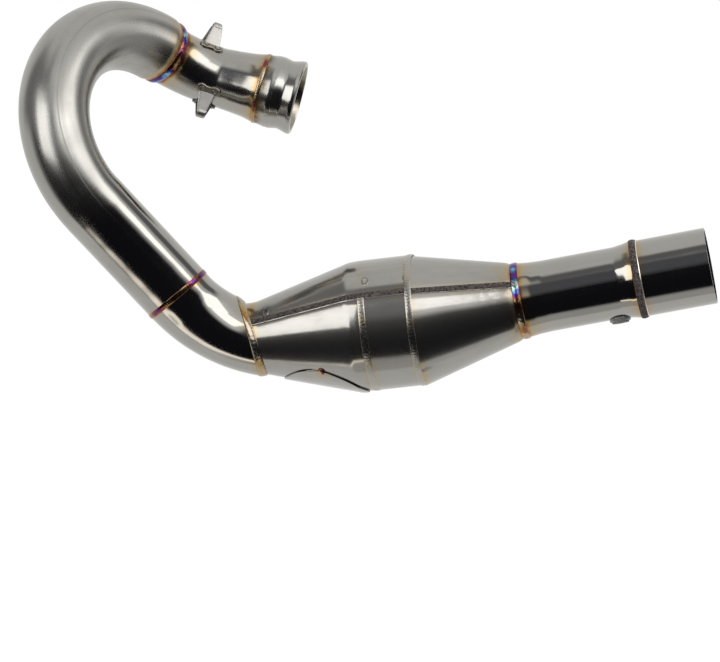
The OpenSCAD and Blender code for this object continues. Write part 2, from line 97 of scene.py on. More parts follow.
def wander(angle: np.ndarray, seed: float) -> np.ndarray:
    """A slow uneven wave round a ring: three sines whose phases come from the seed.

    Args:
        angle: Angles round the ring, radians.
        seed: Any number, one for each place.

    Returns:
        Values between about -1 and 1.
    """
    return (
        0.5 * np.sin(2 * angle + 1.7 * seed)
        + 0.3 * np.sin(5 * angle + 2.9 * seed)
        + 0.2 * np.sin(11 * angle + 0.6 * seed)
    )


@dataclass(frozen=True)
class Leg:
    """One stretch of a route: straight where bend_r is 0, else an arc that turns towards side."""

    begin: float
    length: float
    point: np.ndarray
    along: np.ndarray
    x_axis: np.ndarray
    side: np.ndarray
    bend_r: float

    def frames(self, s: np.ndarray) -> tuple[np.ndarray, np.ndarray, np.ndarray]:
        """Works out the centre and the two cross axes at distances along the route.

        The axes turn with the arc about its own normal, and so carry no twist.

        Args:
            s: Distances along the whole route, millimetres.

        Returns:
            Centres, x axes and y axes, each with a last dimension of three.
        """
        run = (s - self.begin)[..., None]
        y_axis = np.cross(self.along, self.x_axis)
        if self.bend_r == 0:
            flat = np.zeros_like(run)
            return self.point + run * self.along, flat + self.x_axis, flat + y_axis
        turn = run / self.bend_r
        centre = self.point + self.bend_r * (
            np.sin(turn) * self.along + (1 - np.cos(turn)) * self.side
        )
        normal = np.cross(self.along, self.side)
        return centre, self.rolled(self.x_axis, normal, turn), self.rolled(y_axis, normal, turn)

    @staticmethod
    def rolled(axis: np.ndarray, about: np.ndarray, turn: np.ndarray) -> np.ndarray:
        """Turns an axis about a normal by each of the angles.

        Args:
            axis: The axis.
            about: The normal, at length one.
            turn: Angles in radians.

        Returns:
            One axis for each angle.
        """
        return (
            axis * np.cos(turn)
            + np.cross(about, axis) * np.sin(turn)
            + about * (about @ axis) * (1 - np.cos(turn))
        )


class Path:
    """A centreline made of straights and bends, with cross axes that carry no twist."""

    def __init__(self, start: np.ndarray, along: np.ndarray, x_hint: np.ndarray) -> None:
        """Starts the route at a point, with its x axis as near as can be to x_hint.

        Args:
            start: Its first point.
            along: Its first heading.
            x_hint: Where the x axis should point.
        """
        self.point = np.array(start, float)
        self.along = unit(along)
        self.x_axis = square_to(self.along, x_hint)
        self.length = 0.0
        self.legs: list[Leg] = []

    def straight(self, length: float) -> float:
        """Adds a straight and returns the route's length so far.

        Args:
            length: Its length.

        Returns:
            The route's length so far.
        """
        self.legs.append(
            Leg(self.length, length, self.point, self.along, self.x_axis, self.x_axis, 0.0)
        )
        self.point = self.point + length * self.along
        self.length += length
        return self.length

    def bend(self, towards: np.ndarray, bend_r: float, turn: float = 0.0) -> float:
        """Adds a bend.

        Args:
            towards: The heading in whose plane the bend lies.
            bend_r: Radius of the centreline.
            turn: Radians of bend, or 0 to reach the heading itself.

        Returns:
            The route's length so far.
        """
        turn = turn or angle_between(self.along, towards)
        side = square_to(self.along, towards)
        leg = Leg(
            self.length, turn * bend_r, self.point, self.along, self.x_axis, side, bend_r
        )
        self.legs.append(leg)
        end = np.array([self.length + leg.length])
        centre, x_axis, y_axis = leg.frames(end)
        self.point = centre[0]
        self.x_axis = x_axis[0]
        self.along = np.cross(x_axis[0], y_axis[0])
        self.length += leg.length
        return self.length

    def frames(self, s: np.ndarray) -> tuple[np.ndarray, np.ndarray, np.ndarray]:
        """Centres and cross axes at any distances, past the ends too.

        Args:
            s: Distances along the route.

        Returns:
            Centres, x axes and y axes.
        """
        s = np.asarray(s, float)
        out = [np.zeros(s.shape + (3,)) for _ in range(3)]
        for i, leg in enumerate(self.legs):
            low = -np.inf if i == 0 else leg.begin
            high = np.inf if i == len(self.legs) - 1 else leg.begin + leg.length
            here = (s >= low) & (s < high)
            for whole, part in zip(out, leg.frames(s[here])):
                whole[here] = part
        return out[0], out[1], out[2]


@dataclass(frozen=True)
class Route:
    """The header's route and the sizes that its pieces share, as in the part's source.

    Lengths are in millimetres and angles in degrees.
    """

    port_rise: float = 15
    port_lean: float = 3
    inlet_run: float = 53.5
    inlet_bend_r: float = 62
    neck_rise: float = 30
    neck_lean: float = 32.5
    neck_run: float = 11.5
    bend_weld_at: float = 4.6
    loop_bend_r: float = 71
    lower_drop: float = 47.5
    lower_lean: float = 20
    lower_run: float = 89.5
    lower_weld_back: float = 3
    elbow_bend_r: float = 78
    elbow_drop: float = 14.5
    elbow_lean: float = 5.5
    elbow_turn: float = 42
    elbow_spare: float = 22
    chamber_rise: float = 6.5
    chamber_lean: float = 7.5
    outlet_rise: float = 10.5
    outlet_lean: float = 8
    band_weld_at: float = 112.5
    rear_cone_len: float = 70.5
    wall: float = 1.2
    inlet_r: float = 20.65
    main_r: float = 23.8
    bend_thinning: float = 0.3
    outlet_r: float = 25.0
    bend_weld_w: float = 6.0
    outlet_weld_w: float = 5.0
    inlet_cut: tuple[float, float] = (17.5, -1)

    def head_path(self) -> tuple[Path, dict[str, float]]:
        """Builds the path from the port to the end of the elbow.

        Returns:
            The path, and the distance along it of each station.
        """
        port = heading(180 - self.port_rise, -self.port_lean)
        path = Path(np.zeros(3), port, NEAR_SIDE)
        at = {"inlet": path.straight(self.inlet_run)}
        at["neck"] = path.bend(
            heading(180 - self.neck_rise, self.neck_lean), self.inlet_bend_r
        )
        at["loop"] = path.straight(self.neck_run)
        at["lower"] = path.bend(heading(-self.lower_drop, -self.lower_lean), self.loop_bend_r)
        at["elbow"] = path.straight(self.lower_run)
        elbow = heading(-self.elbow_drop, self.elbow_lean)
        turn = math.radians(self.elbow_turn)
        path.bend(elbow, self.elbow_bend_r, turn + math.radians(self.elbow_spare))
        at["chamber"] = at["elbow"] + self.elbow_bend_r * turn
        return path, at

    def front_path(self) -> Path:
        """The chamber's front axis, from its inlet.

        Returns:
            The path.
        """
        path, at = self.head_path()
        start = path.frames(np.array([at["chamber"]]))[0][0]
        front = Path(start, heading(self.chamber_rise, self.chamber_lean), NEAR_SIDE)
        front.straight(self.band_weld_at)
        return front

    def rear_path(self) -> Path:
        """The axis of the rear cone and the outlet, from the band weld.

        Returns:
            The path.
        """
        front = self.front_path()
        rear = Path(front.point, heading(self.outlet_rise, self.outlet_lean), NEAR_SIDE)
        rear.straight(1.0)
        return rear


class Skin:
    """A round surface along a path, whose radius follows a profile of stations."""

    STEP = 0.1

    def __init__(
        self, path: Path, stations: list[float], radii: list[float], soften: float = 0.0
    ) -> None:
        """Takes the profile.

        Args:
            path: The centreline.
            stations: Distances along it, rising.
            radii: The radius at each station.
            soften: Half width over which the profile's corners are rounded.
        """
        self.path = path
        self.stations = np.arange(stations[0] - 30, stations[-1] + 30, self.STEP)
        self.radii = np.interp(self.stations, stations, radii)
        if soften > 0:
            count = int(soften / self.STEP) * 2 + 1
            window = np.hanning(count + 2)[1:-1]
            padded = np.pad(self.radii, count // 2, mode="edge")
            self.radii = np.convolve(padded, window / window.sum(), mode="valid")

    def radius(self, s: np.ndarray) -> np.ndarray:
        """The radius at each distance."""
        return np.interp(s, self.stations, self.radii)

    def at(self, s: np.ndarray, angle: np.ndarray, lift: np.ndarray) -> np.ndarray:
        """Points on the surface: the centre plus radius and lift along the turned cross axes.

        Args:
            s: Distances along the path.
            angle: Angles round it, from the near side.
            lift: Heights above the surface.

        Returns:
            Points, with a last dimension of three.
        """
        s, angle, lift = np.broadcast_arrays(s, angle, lift)
        centre, x_axis, y_axis = self.path.frames(s)
        out = (self.radius(s) + lift)[..., None]
        return centre + out * (
            np.cos(angle)[..., None] * x_axis + np.sin(angle)[..., None] * y_axis
        )

    def laid(self, s: np.ndarray, angle: np.ndarray) -> np.ndarray:
        """The same points with the path pulled straight, for patterns that follow the metal.

        Args:
            s: Distances along the path.
            angle: Angles round it.

        Returns:
            Points, with the path along the third axis.
        """
        s, angle = np.broadcast_arrays(s, angle)
        r = self.radius(s)
        return np.stack([r * np.cos(angle), r * np.sin(angle), s], -1)

    def angle_of(self, s: float, direction: np.ndarray) -> float:
        """The angle at which a direction leaves the path."""
        _, x_axis, y_axis = self.path.frames(np.array([s]))
        return math.atan2(float(direction @ y_axis[0]), float(direction @ x_axis[0]))

    def cut(
        self, point: np.ndarray, normal: np.ndarray, angle: np.ndarray, near: float
    ) -> np.ndarray:
        """Finds where each line along the surface crosses a plane.

        The distance to the plane is worked out on a grid, and the crossing lies between
        the two grid rows at which it changes sign.

        Args:
            point: A point in the plane.
            normal: The plane's normal.
            angle: Angles round the path.
            near: A distance along the path close to the crossing.

        Returns:
            One distance along the path for each angle.
        """
        reach = 26.0
        rows = np.linspace(near - reach, near + reach, 261)
        flat = angle.ravel()
        away = (self.at(rows[:, None], flat[None, :], 0.0) - point) @ normal
        first = np.argmax(away > 0, axis=0)
        columns = np.arange(len(flat))
        below = away[first - 1, columns]
        above = away[first, columns]
        share = below / (below - above)
        found = rows[first - 1] + share * (rows[1] - rows[0])
        return found.reshape(angle.shape)


@dataclass
class Sheet:
    """A grid of points with what the materials read at each of them.

    rows_meet and columns_meet say whether the grid closes on itself in each direction.
    """

    points: np.ndarray
    laid: np.ndarray
    heat: np.ndarray
    rows_meet: bool = True
    columns_meet: bool = True
    extra: dict[str, np.ndarray] = field(default_factory=dict)

    def faces(self) -> np.ndarray:
        """Corner numbers of each quad, worked out as whole arrays.

        Returns:
            One row of four corner numbers for each quad.
        """
        rows, columns = self.points.shape[:2]
        i = np.arange(rows if self.rows_meet else rows - 1)[:, None]
        j = np.arange(columns if self.columns_meet else columns - 1)[None, :]
        i2 = (i + 1) % rows
        j2 = (j + 1) % columns
        quad = np.stack(
            [i * columns + j, i * columns + j2, i2 * columns + j2, i2 * columns + j], -1
        )
        return quad.reshape(-1, 4)

    def outward(self, quads: np.ndarray) -> np.ndarray:
        """Turns the quads round if their enclosed volume comes out negative.

        Args:
            quads: Corner numbers.

        Returns:
            The same quads, facing outwards.
        """
        p = self.points.reshape(-1, 3)
        p = p - p.mean(0)
        a, b, c, d = (p[quads[:, k]] for k in range(4))
        volume = np.einsum("ij,ij->", a, np.cross(b, c)) + np.einsum("ij,ij->", a, np.cross(c, d))
        return quads if volume > 0 else quads[:, ::-1]


def sheet_object(name: str, sheets: list[Sheet], crease: float = 38.0) -> bpy.types.Object:
    """Puts sheets into one mesh object, in metres, with their attributes.

    Args:
        name: The object's name.
        sheets: The grids.
        crease: Edges sharper than this many degrees stay sharp.

    Returns:
        The object, linked to the scene.
    """
    quads = []
    first = 0
    for sheet in sheets:
        quads.append(sheet.outward(sheet.faces()) + first)
        first += sheet.points.shape[0] * sheet.points.shape[1]
    corners = np.concatenate(quads)
    points = np.concatenate([s.points.reshape(-1, 3) for s in sheets]) * MM
    mesh = bpy.data.meshes.new(name)
    mesh.vertices.add(len(points))
    mesh.loops.add(corners.size)
    mesh.polygons.add(len(corners))
    mesh.vertices.foreach_set("co", points.ravel())
    mesh.loops.foreach_set("vertex_index", corners.ravel().astype(np.int32))
    mesh.polygons.foreach_set("loop_start", np.arange(0, corners.size, 4, dtype=np.int32))
    mesh.update(calc_edges=True)
    mesh.validate()
    laid = np.concatenate([s.laid.reshape(-1, 3) for s in sheets]) * MM
    mesh.attributes.new("laid", "FLOAT_VECTOR", "POINT").data.foreach_set("vector", laid.ravel())
    names = ["temper"] + sorted({k for s in sheets for k in s.extra})
    for key in names:
        values = [s.heat if key == "temper" else s.extra.get(key, s.heat * 0) for s in sheets]
        joined = np.concatenate([v.ravel() for v in values]).astype(np.float32)
        mesh.attributes.new(key, "FLOAT", "POINT").data.foreach_set("value", joined)
    mesh.shade_smooth()
    mesh.set_sharp_from_angle(angle=math.radians(crease))
    made = bpy.data.objects.new(name, mesh)
    bpy.context.scene.collection.objects.link(made)
    return made


def round_angles(count: int) -> np.ndarray:
    """Angles once round, with the first on the far side."""
    return math.pi + np.arange(count) * 2 * math.pi / count


@dataclass(frozen=True)
class Glow:
    """How hot a weld left the metal beside it, and how far that shows."""

    at: float
    peak: float
    reach: float
    seed: float = 1.0

    def on(self, distance: np.ndarray, angle: np.ndarray) -> np.ndarray:
        """Heat that fades as a bell curve with distance, over a border that wanders.

        Args:
            distance: Distance from the weld.
            angle: Angles round it.

        Returns:
            Heat.
        """
        spread = self.reach * (1 + 0.28 * wander(angle, self.seed))
        return self.peak * np.exp(-((distance / spread) ** 2))


def warmed(glows: list[Glow], s: np.ndarray, angle: np.ndarray) -> np.ndarray:
    """The heat of several glows together: the highest of them at each place.

    Args:
        glows: The glows.
        s: Distances along the tube.
        angle: Angles round it.

    Returns:
        Heat.
    """
    heat = np.zeros(np.broadcast_shapes(s.shape, angle.shape))
    for glow in glows:
        heat = np.maximum(heat, glow.on(s - glow.at, angle))
    return heat


@dataclass(frozen=True)
class DarkPatch:
    """A dark patch on the metal, for stains and for painted shade: its place, its half sizes in
    millimetres and its depth.
    """

    at: float
    turn: float
    long: float
    wide: float
    depth: float

    def on(self, skin: Skin, s: np.ndarray, angle: np.ndarray) -> np.ndarray:
        """A bell curve in both directions, turned into millimetres round the skin.

        Args:
            skin: The surface.
            s: Distances along it.
            angle: Angles round it.

        Returns:
            The patch's depth.
        """
        across = turn_past(angle, math.radians(self.turn)) * skin.radius(s) / self.wide
        return self.depth * np.exp(-(((s - self.at) / self.long) ** 2) - across**2)


def tube_wall(
    skin: Skin,
    start: np.ndarray | float,
    end: np.ndarray | float,
    wall: float,
    glows: list[Glow],
    pitch: float = 1.5,
    rim: float = 0.15,
    drawn_at: float | None = None,
) -> Sheet:
    """A tube's whole wall as one closed sheet.

    The rows run along the outside, over a small rim chamfer, back along the inside and
    over the other rim. Each row is a share of the way from start to end, so the ends may
    be cut aslant.

    Args:
        skin: The outer surface.
        start: Distance of the first end, one value or one for each column.
        end: Distance of the second end.
        wall: The wall's thickness.
        glows: The heat beside the tube's welds.
        pitch: Length of one row on the outside.
        rim: Size of the rim chamfers.
        drawn_at: Angle of the tube's own long seam, if it shows.

    Returns:
        The sheet.
    """
    angle = round_angles(TUBE_COLUMNS)[None, :]
    run = float(np.mean(end)) - float(np.mean(start))
    outside = np.linspace(0, 1, max(int(run / pitch), 4))
    inside = np.linspace(1, 0, max(int(run / pitch / 2), 3))
    share = np.concatenate([outside, [1], inside, [0]])[:, None]
    depth = np.concatenate([outside * 0, [rim], inside * 0 + wall, [wall - rim]])[:, None]
    inset = np.concatenate([outside * 0 + rim, [0], inside * 0, [0]])[:, None]
    s = start + inset + share * (end - start - 2 * inset)
    sheet = Sheet(skin.at(s, angle, -depth), skin.laid(s, angle), warmed(glows, s, angle))
    if drawn_at is not None:
        off = turn_past(angle, drawn_at) * skin.radius(s)
        sheet.extra["drawn"] = SEAM_ZERO + np.clip(off, -SEAM_ZERO / 2, SEAM_ZERO / 2) + 0 * s
    return sheet


@dataclass(frozen=True)
class Bead:
    """The make of a weld bead: its size, its ripples and its colours."""

    width: float
    rise: float
    ripple_pitch: float = 1.5
    ripple_rise: float = 0.12
    sweep: float = 0.7
    uneven: float = 0.08
    sunk: float = 0.6
    heat: float = 0.5
    heat_swing: float = 0.2
    seed: float = 1.0
    tilt: float = 0.0

    def height(self, across: np.ndarray, length: np.ndarray) -> np.ndarray:
        """The bead's height: a flattened dome across, with crescent ripples along it.

        Args:
            across: Place across the bead, from -1 to 1.
            length: Distance along the bead, millimetres.

        Returns:
            Heights above the metal.
        """
        dome = self.rise * np.sqrt(np.clip(1 - across**2, 0, 1))
        phase = length / self.ripple_pitch + self.sweep * across**2
        crest = np.sqrt(np.abs(np.sin(math.pi * phase)))
        fade = np.clip(1 - across**4, 0, 1)
        slow = np.sin(length * 0.31 + self.seed) * np.sin(length * 0.083 + 2 * self.seed)
        return dome * (1 + self.uneven * slow) + self.ripple_rise * (crest - 0.6) * fade

    def section(self, length: np.ndarray) -> tuple[np.ndarray, np.ndarray]:
        """The bead's closed cross section: over the dome, then back below the metal.

        Args:
            length: Distance along the bead, millimetres.

        Returns:
            Places across the bead, from -1 to 1, and heights above the metal.
        """
        dome = np.cos(np.linspace(math.pi, 0, BEAD_ROWS))
        across = np.concatenate([dome, [0.9, -0.9]])[:, None]
        on_top = np.arange(len(across))[:, None] < BEAD_ROWS
        return across, np.where(on_top, self.height(across, length), -self.sunk)

    def warmth(self, across: np.ndarray, length: np.ndarray) -> np.ndarray:
        """Heat over the bead: highest in the middle, swinging slowly along it.

        Args:
            across: Places across the bead.
            length: Distances along it.

        Returns:
            Heat.
        """
        swing = np.sin(length * 0.17 + 3 * self.seed) + 0.6 * np.sin(length * 0.41 + self.seed)
        return self.heat + 0.5 * self.heat_swing * swing - 0.1 * across**2


def ring_bead(skin: Skin, at: np.ndarray | float, bead: Bead) -> Sheet:
    """A bead all the way round a skin, as one closed sheet.

    Args:
        skin: The surface that it lies on.
        at: Its distance along the path, one value or one for each of its columns.
        bead: Its make.

    Returns:
        The sheet.
    """
    r = float(np.mean(skin.radius(np.asarray(at, float))))
    columns = np.size(at) if np.ndim(at) else bead_columns(r, bead)
    angle = round_angles(columns)[None, :]
    length = (angle - math.pi) * r
    across, lift = bead.section(length)
    s = np.broadcast_to(np.asarray(at, float) + across * bead.width / 2, lift.shape)
    warmth = bead.warmth(across, length) + bead.tilt * np.sin(angle)
    sheet = Sheet(skin.at(s, angle, lift), skin.laid(s, angle), warmth)
    sheet.extra["across"] = across + 0 * lift
    return sheet


def plane_turn(points: np.ndarray, centre: np.ndarray, normal: np.ndarray) -> np.ndarray:
    """The angle of each point about a centre, measured in the plane of a cut.

    Args:
        points: Points in the plane.
        centre: Where the angle is measured from.
        normal: The plane's normal.

    Returns:
        Angles in radians.
    """
    sideways = unit(np.cross(normal, (0.0, 1.0, 0.0)))
    upward = np.cross(normal, sideways)
    away = points - centre
    return np.arctan2(away @ upward, away @ sideways)


def bridge_bead(
    skin: Skin, other: Skin, point: np.ndarray, normal: np.ndarray, near: float, bead: Bead
) -> Sheet:
    """A bead from one skin across a slanting cut to another, as one closed sheet.

    Each line across the bead starts half a width before the cut on the first skin and ends
    half a width past it on the other, at the place that faces it: the two have the same angle
    about the cut's centre. Its points lie between the two, and are lifted by the bead's
    height along the line from the middle of the tube.

    Args:
        skin: The surface before the cut.
        other: The surface past the cut, with its path starting at the cut.
        point: The cut's centre.
        normal: The cut's normal.
        near: Distance of the cut along the first skin.
        bead: Its make.

    Returns:
        The sheet.
    """
    angle = round_angles(bead_columns(float(skin.radius(np.array([near]))[0]), bead))[None, :]
    at = skin.cut(point, normal, angle, near)
    here = plane_turn(skin.at(at, angle, 0.0), point, normal)
    ring = round_angles(720)[None, :]
    there = plane_turn(other.at(other.cut(point, normal, ring, 0.0), ring, 0.0), point, normal)
    lead = np.unwrap(ring - there)
    facing = here + np.interp(here[0], there[0], lead[0], period=2 * math.pi)[None, :]
    other_at = other.cut(point, normal, facing, 0.0)
    length = (angle - math.pi) * float(np.mean(skin.radius(at)))
    across, lift = bead.section(length)
    first = skin.at(at - bead.width / 2, angle, 0.0)
    last = other.at(other_at + bead.width / 2, facing, 0.0)
    share = (across[..., None] + 1) / 2
    surface = first + share * (last - first)
    out = surface - skin.path.frames(at)[0]
    out = out / np.linalg.norm(out, axis=-1, keepdims=True)
    s = at + across * bead.width / 2
    sheet = Sheet(surface + lift[..., None] * out, skin.laid(s, angle), bead.warmth(across, length))
    sheet.extra["across"] = across + 0 * lift
    return sheet


def bead_columns(r: float, bead: Bead) -> int:
    """Columns round a bead: seven for each ripple, and a whole number of ripples."""
    return int(2 * math.pi * r / bead.ripple_pitch) * 7


def closed(points: np.ndarray, laid: np.ndarray, heat: np.ndarray) -> list[Sheet]:
    """Closes a body whose rows run over its top and back underneath, by a strip at each end.

    Args:
        points: The grid, with the same number of rows above as below.
        laid: The same grid with its path pulled straight.
        heat: Heat at each grid point.

    Returns:
        The body and its two strips.
    """
    count = len(points)
    rows = np.arange(count // 2)
    pair = np.stack([rows, count - 1 - rows])
    ends = [
        Sheet(points[pair, k], laid[pair, k], heat[pair, k], rows_meet=False, columns_meet=False)
        for k in (0, -1)
    ]
    return [Sheet(points, laid, heat, columns_meet=False)] + ends


def slab(
    skin: Skin,
    s: np.ndarray,
    angle: np.ndarray,
    top: np.ndarray,
    under: np.ndarray,
    heat: np.ndarray,
) -> list[Sheet]:
    """A patch of a skin with a top, an underside and closed edges.

    The underside's rows follow the top's in reverse, so the rows close on themselves.

    Args:
        skin: The surface.
        s: Distance of each grid point along the path.
        angle: Angle of each grid point.
        top: Height of the top above the skin.
        under: Height of the underside.
        heat: Heat at each grid point.

    Returns:
        Sheets that make one closed body.
    """
    s, angle, top, under, heat = np.broadcast_arrays(s, angle, top, under, heat)
    loop_s = np.concatenate([s, s[::-1]])
    loop_a = np.concatenate([angle, angle[::-1]])
    lift = np.concatenate([top, under[::-1]])
    warm = np.concatenate([heat, heat[::-1]])
    return closed(skin.at(loop_s, loop_a, lift), skin.laid(loop_s, loop_a), warm)


def turned(path: Path, section: list[tuple[float, float]], columns: int = 64) -> Sheet:
    """A small turned piece: its section, as radius and height, carried round the path's axis.

    Args:
        path: The axis.
        section: Radius and height of each corner, in order.
        columns: Columns round it.

    Returns:
        The sheet.
    """
    angle = round_angles(columns)[None, :]
    radius = np.array([p[0] for p in section])[:, None]
    height = np.array([p[1] for p in section])[:, None] + 0 * angle
    skin = Skin(path, [-100.0, 100.0], [0.0, 0.0])
    points = skin.at(height, angle, radius)
    laid = np.stack([radius * np.cos(angle), radius * np.sin(angle), height], -1)
    return Sheet(points, laid, np.zeros(height.shape))


class Grain(Enum):
    """Which way the polishing or turning marks run."""

    ALONG = (900.0, 900.0, 40.0)
    AROUND = (60.0, 60.0, 3200.0)
    EVEN = (500.0, 500.0, 500.0)


STEEL = (0.37, 0.36, 0.335)

TEMPER = (
    (0.0, STEEL),
    (0.22, (0.37, 0.355, 0.32)),
    (0.4, (0.4, 0.33, 0.22)),
    (0.52, (0.42, 0.26, 0.1)),
    (0.62, (0.26, 0.1, 0.04)),
    (0.71, (0.16, 0.03, 0.12)),
    (0.8, (0.04, 0.04, 0.26)),
    (0.9, (0.12, 0.3, 0.5)),
    (1.0, (0.42, 0.45, 0.36)),
)


SMUDGE = (0.17, 0.155, 0.135)
SEAM_SHADE = (0.2, 0.19, 0.18)
SOOT_AND_SHADE = (0.045, 0.042, 0.048)
PIT_SHADE = (0.06, 0.055, 0.06)
PIT_DEPTH = 0.35
SCRATCHED = 0.42
CRUST_HOLLOW = (0.012, 0.01, 0.01)
CRUST_GRAIN = (0.24, 0.205, 0.2)
BARE_TOE = (0.75, 0.73, 0.7)


class NodePen:
    """Writes shader nodes into a tree, one call for each node."""

    def __init__(self, tree: bpy.types.NodeTree) -> None:
        """Empties the tree."""
        tree.nodes.clear()
        self.tree = tree

    def add(self, kind: str, inputs: dict | None = None, **settings: object) -> bpy.types.Node:
        """Adds a node.

        Args:
            kind: The node's type name.
            inputs: Value or output socket for each input, by name or number.
            settings: The node's own settings.

        Returns:
            The node.
        """
        node = self.tree.nodes.new(kind)
        for key, value in settings.items():
            setattr(node, key, value)
        for key, value in (inputs or {}).items():
            if isinstance(value, bpy.types.NodeSocket):
                self.tree.links.new(value, node.inputs[key])
            else:
                node.inputs[key].default_value = value
        return node

    def math(self, operation: str, *values: object) -> bpy.types.NodeSocket:
        """Adds a maths node and returns its value."""
        inputs = dict(enumerate(values))
        return self.add("ShaderNodeMath", inputs, operation=operation).outputs[0]

    def read(self, name: str, output: str = "Fac") -> bpy.types.NodeSocket:
        """Reads one of the mesh's own attributes."""
        return self.add("ShaderNodeAttribute", attribute_name=name).outputs[output]

    def noise(
        self, place: object, scale: float, detail: float = 3.0, rough: float = 0.55
    ) -> bpy.types.NodeSocket:
        """Adds a noise pattern and returns its value."""
        inputs = {"Vector": place, "Scale": scale, "Detail": detail, "Roughness": rough}
        return self.add("ShaderNodeTexNoise", inputs).outputs["Fac"]

    def stretched(self, place: object, scale: tuple) -> bpy.types.NodeSocket:
        """Scales a place by a different amount each way."""
        inputs = {0: place, 1: scale}
        return self.add("ShaderNodeVectorMath", inputs, operation="MULTIPLY").outputs[0]

    def band(self, value: object, low: float, high: float, soft: float) -> bpy.types.NodeSocket:
        """Returns 1 where the value lies between low and high, with soft borders.

        Args:
            value: The value.
            low: Where it starts.
            high: Where it ends.
            soft: Half width of its borders.

        Returns:
            The share.
        """
        up = self.ease(value, low - soft, low + soft)
        down = self.ease(value, high - soft, high + soft)
        return self.math("MULTIPLY", up, self.math("SUBTRACT", 1.0, down))

    def ease(self, value: object, low: float, high: float) -> bpy.types.NodeSocket:
        """Returns a smooth step from 0 at low to 1 at high.

        Args:
            value: The value.
            low: Where the step starts.
            high: Where it ends.

        Returns:
            The step.
        """
        inputs = {"Value": value, "From Min": low, "From Max": high}
        node = self.add("ShaderNodeMapRange", inputs, interpolation_type="SMOOTHSTEP")
        return node.outputs["Result"]

    def colours(self, value: object, stops: tuple) -> bpy.types.NodeSocket:
        """Runs a value through a row of (place, colour) stops.

        Args:
            value: The value.
            stops: The stops, by rising place.

        Returns:
            The colour.
        """
        node = self.add("ShaderNodeValToRGB", {"Fac": value})
        ramp = node.color_ramp
        ramp.elements[0].position = stops[0][0]
        ramp.elements[0].color = (*stops[0][1], 1)
        ramp.elements[1].position = stops[-1][0]
        ramp.elements[1].color = (*stops[-1][1], 1)
        for place, colour in stops[1:-1]:
            ramp.elements.new(place).color = (*colour, 1)
        return node.outputs["Color"]

    def mixed(self, share: object, a: object, b: object) -> bpy.types.NodeSocket:
        """Mixes two colours by a share and returns the colour.

        Args:
            share: How much of b.
            a: A colour or a socket.
            b: Another one.

        Returns:
            The colour.
        """
        node = self.add("ShaderNodeMix", {"Factor": share}, data_type="RGBA")
        for number, value in ((6, a), (7, b)):
            if isinstance(value, bpy.types.NodeSocket):
                self.tree.links.new(value, node.inputs[number])
            else:
                node.inputs[number].default_value = (*value, 1)
        return node.outputs[2]

    def bump(self, height: object, strength: float, depth: float, under: object = None) -> object:
        """Adds a bump over an optional one below it and returns the normal.

        Args:
            height: The height, from 0 to 1.
            strength: How much of it shows.
            depth: Metres for a height of 1.
            under: The normal below it.

        Returns:
            The normal.
        """
        inputs = {"Height": height, "Strength": strength, "Distance": depth}
        if under is not None:
            inputs["Normal"] = under
        return self.add("ShaderNodeBump", inputs).outputs["Normal"]


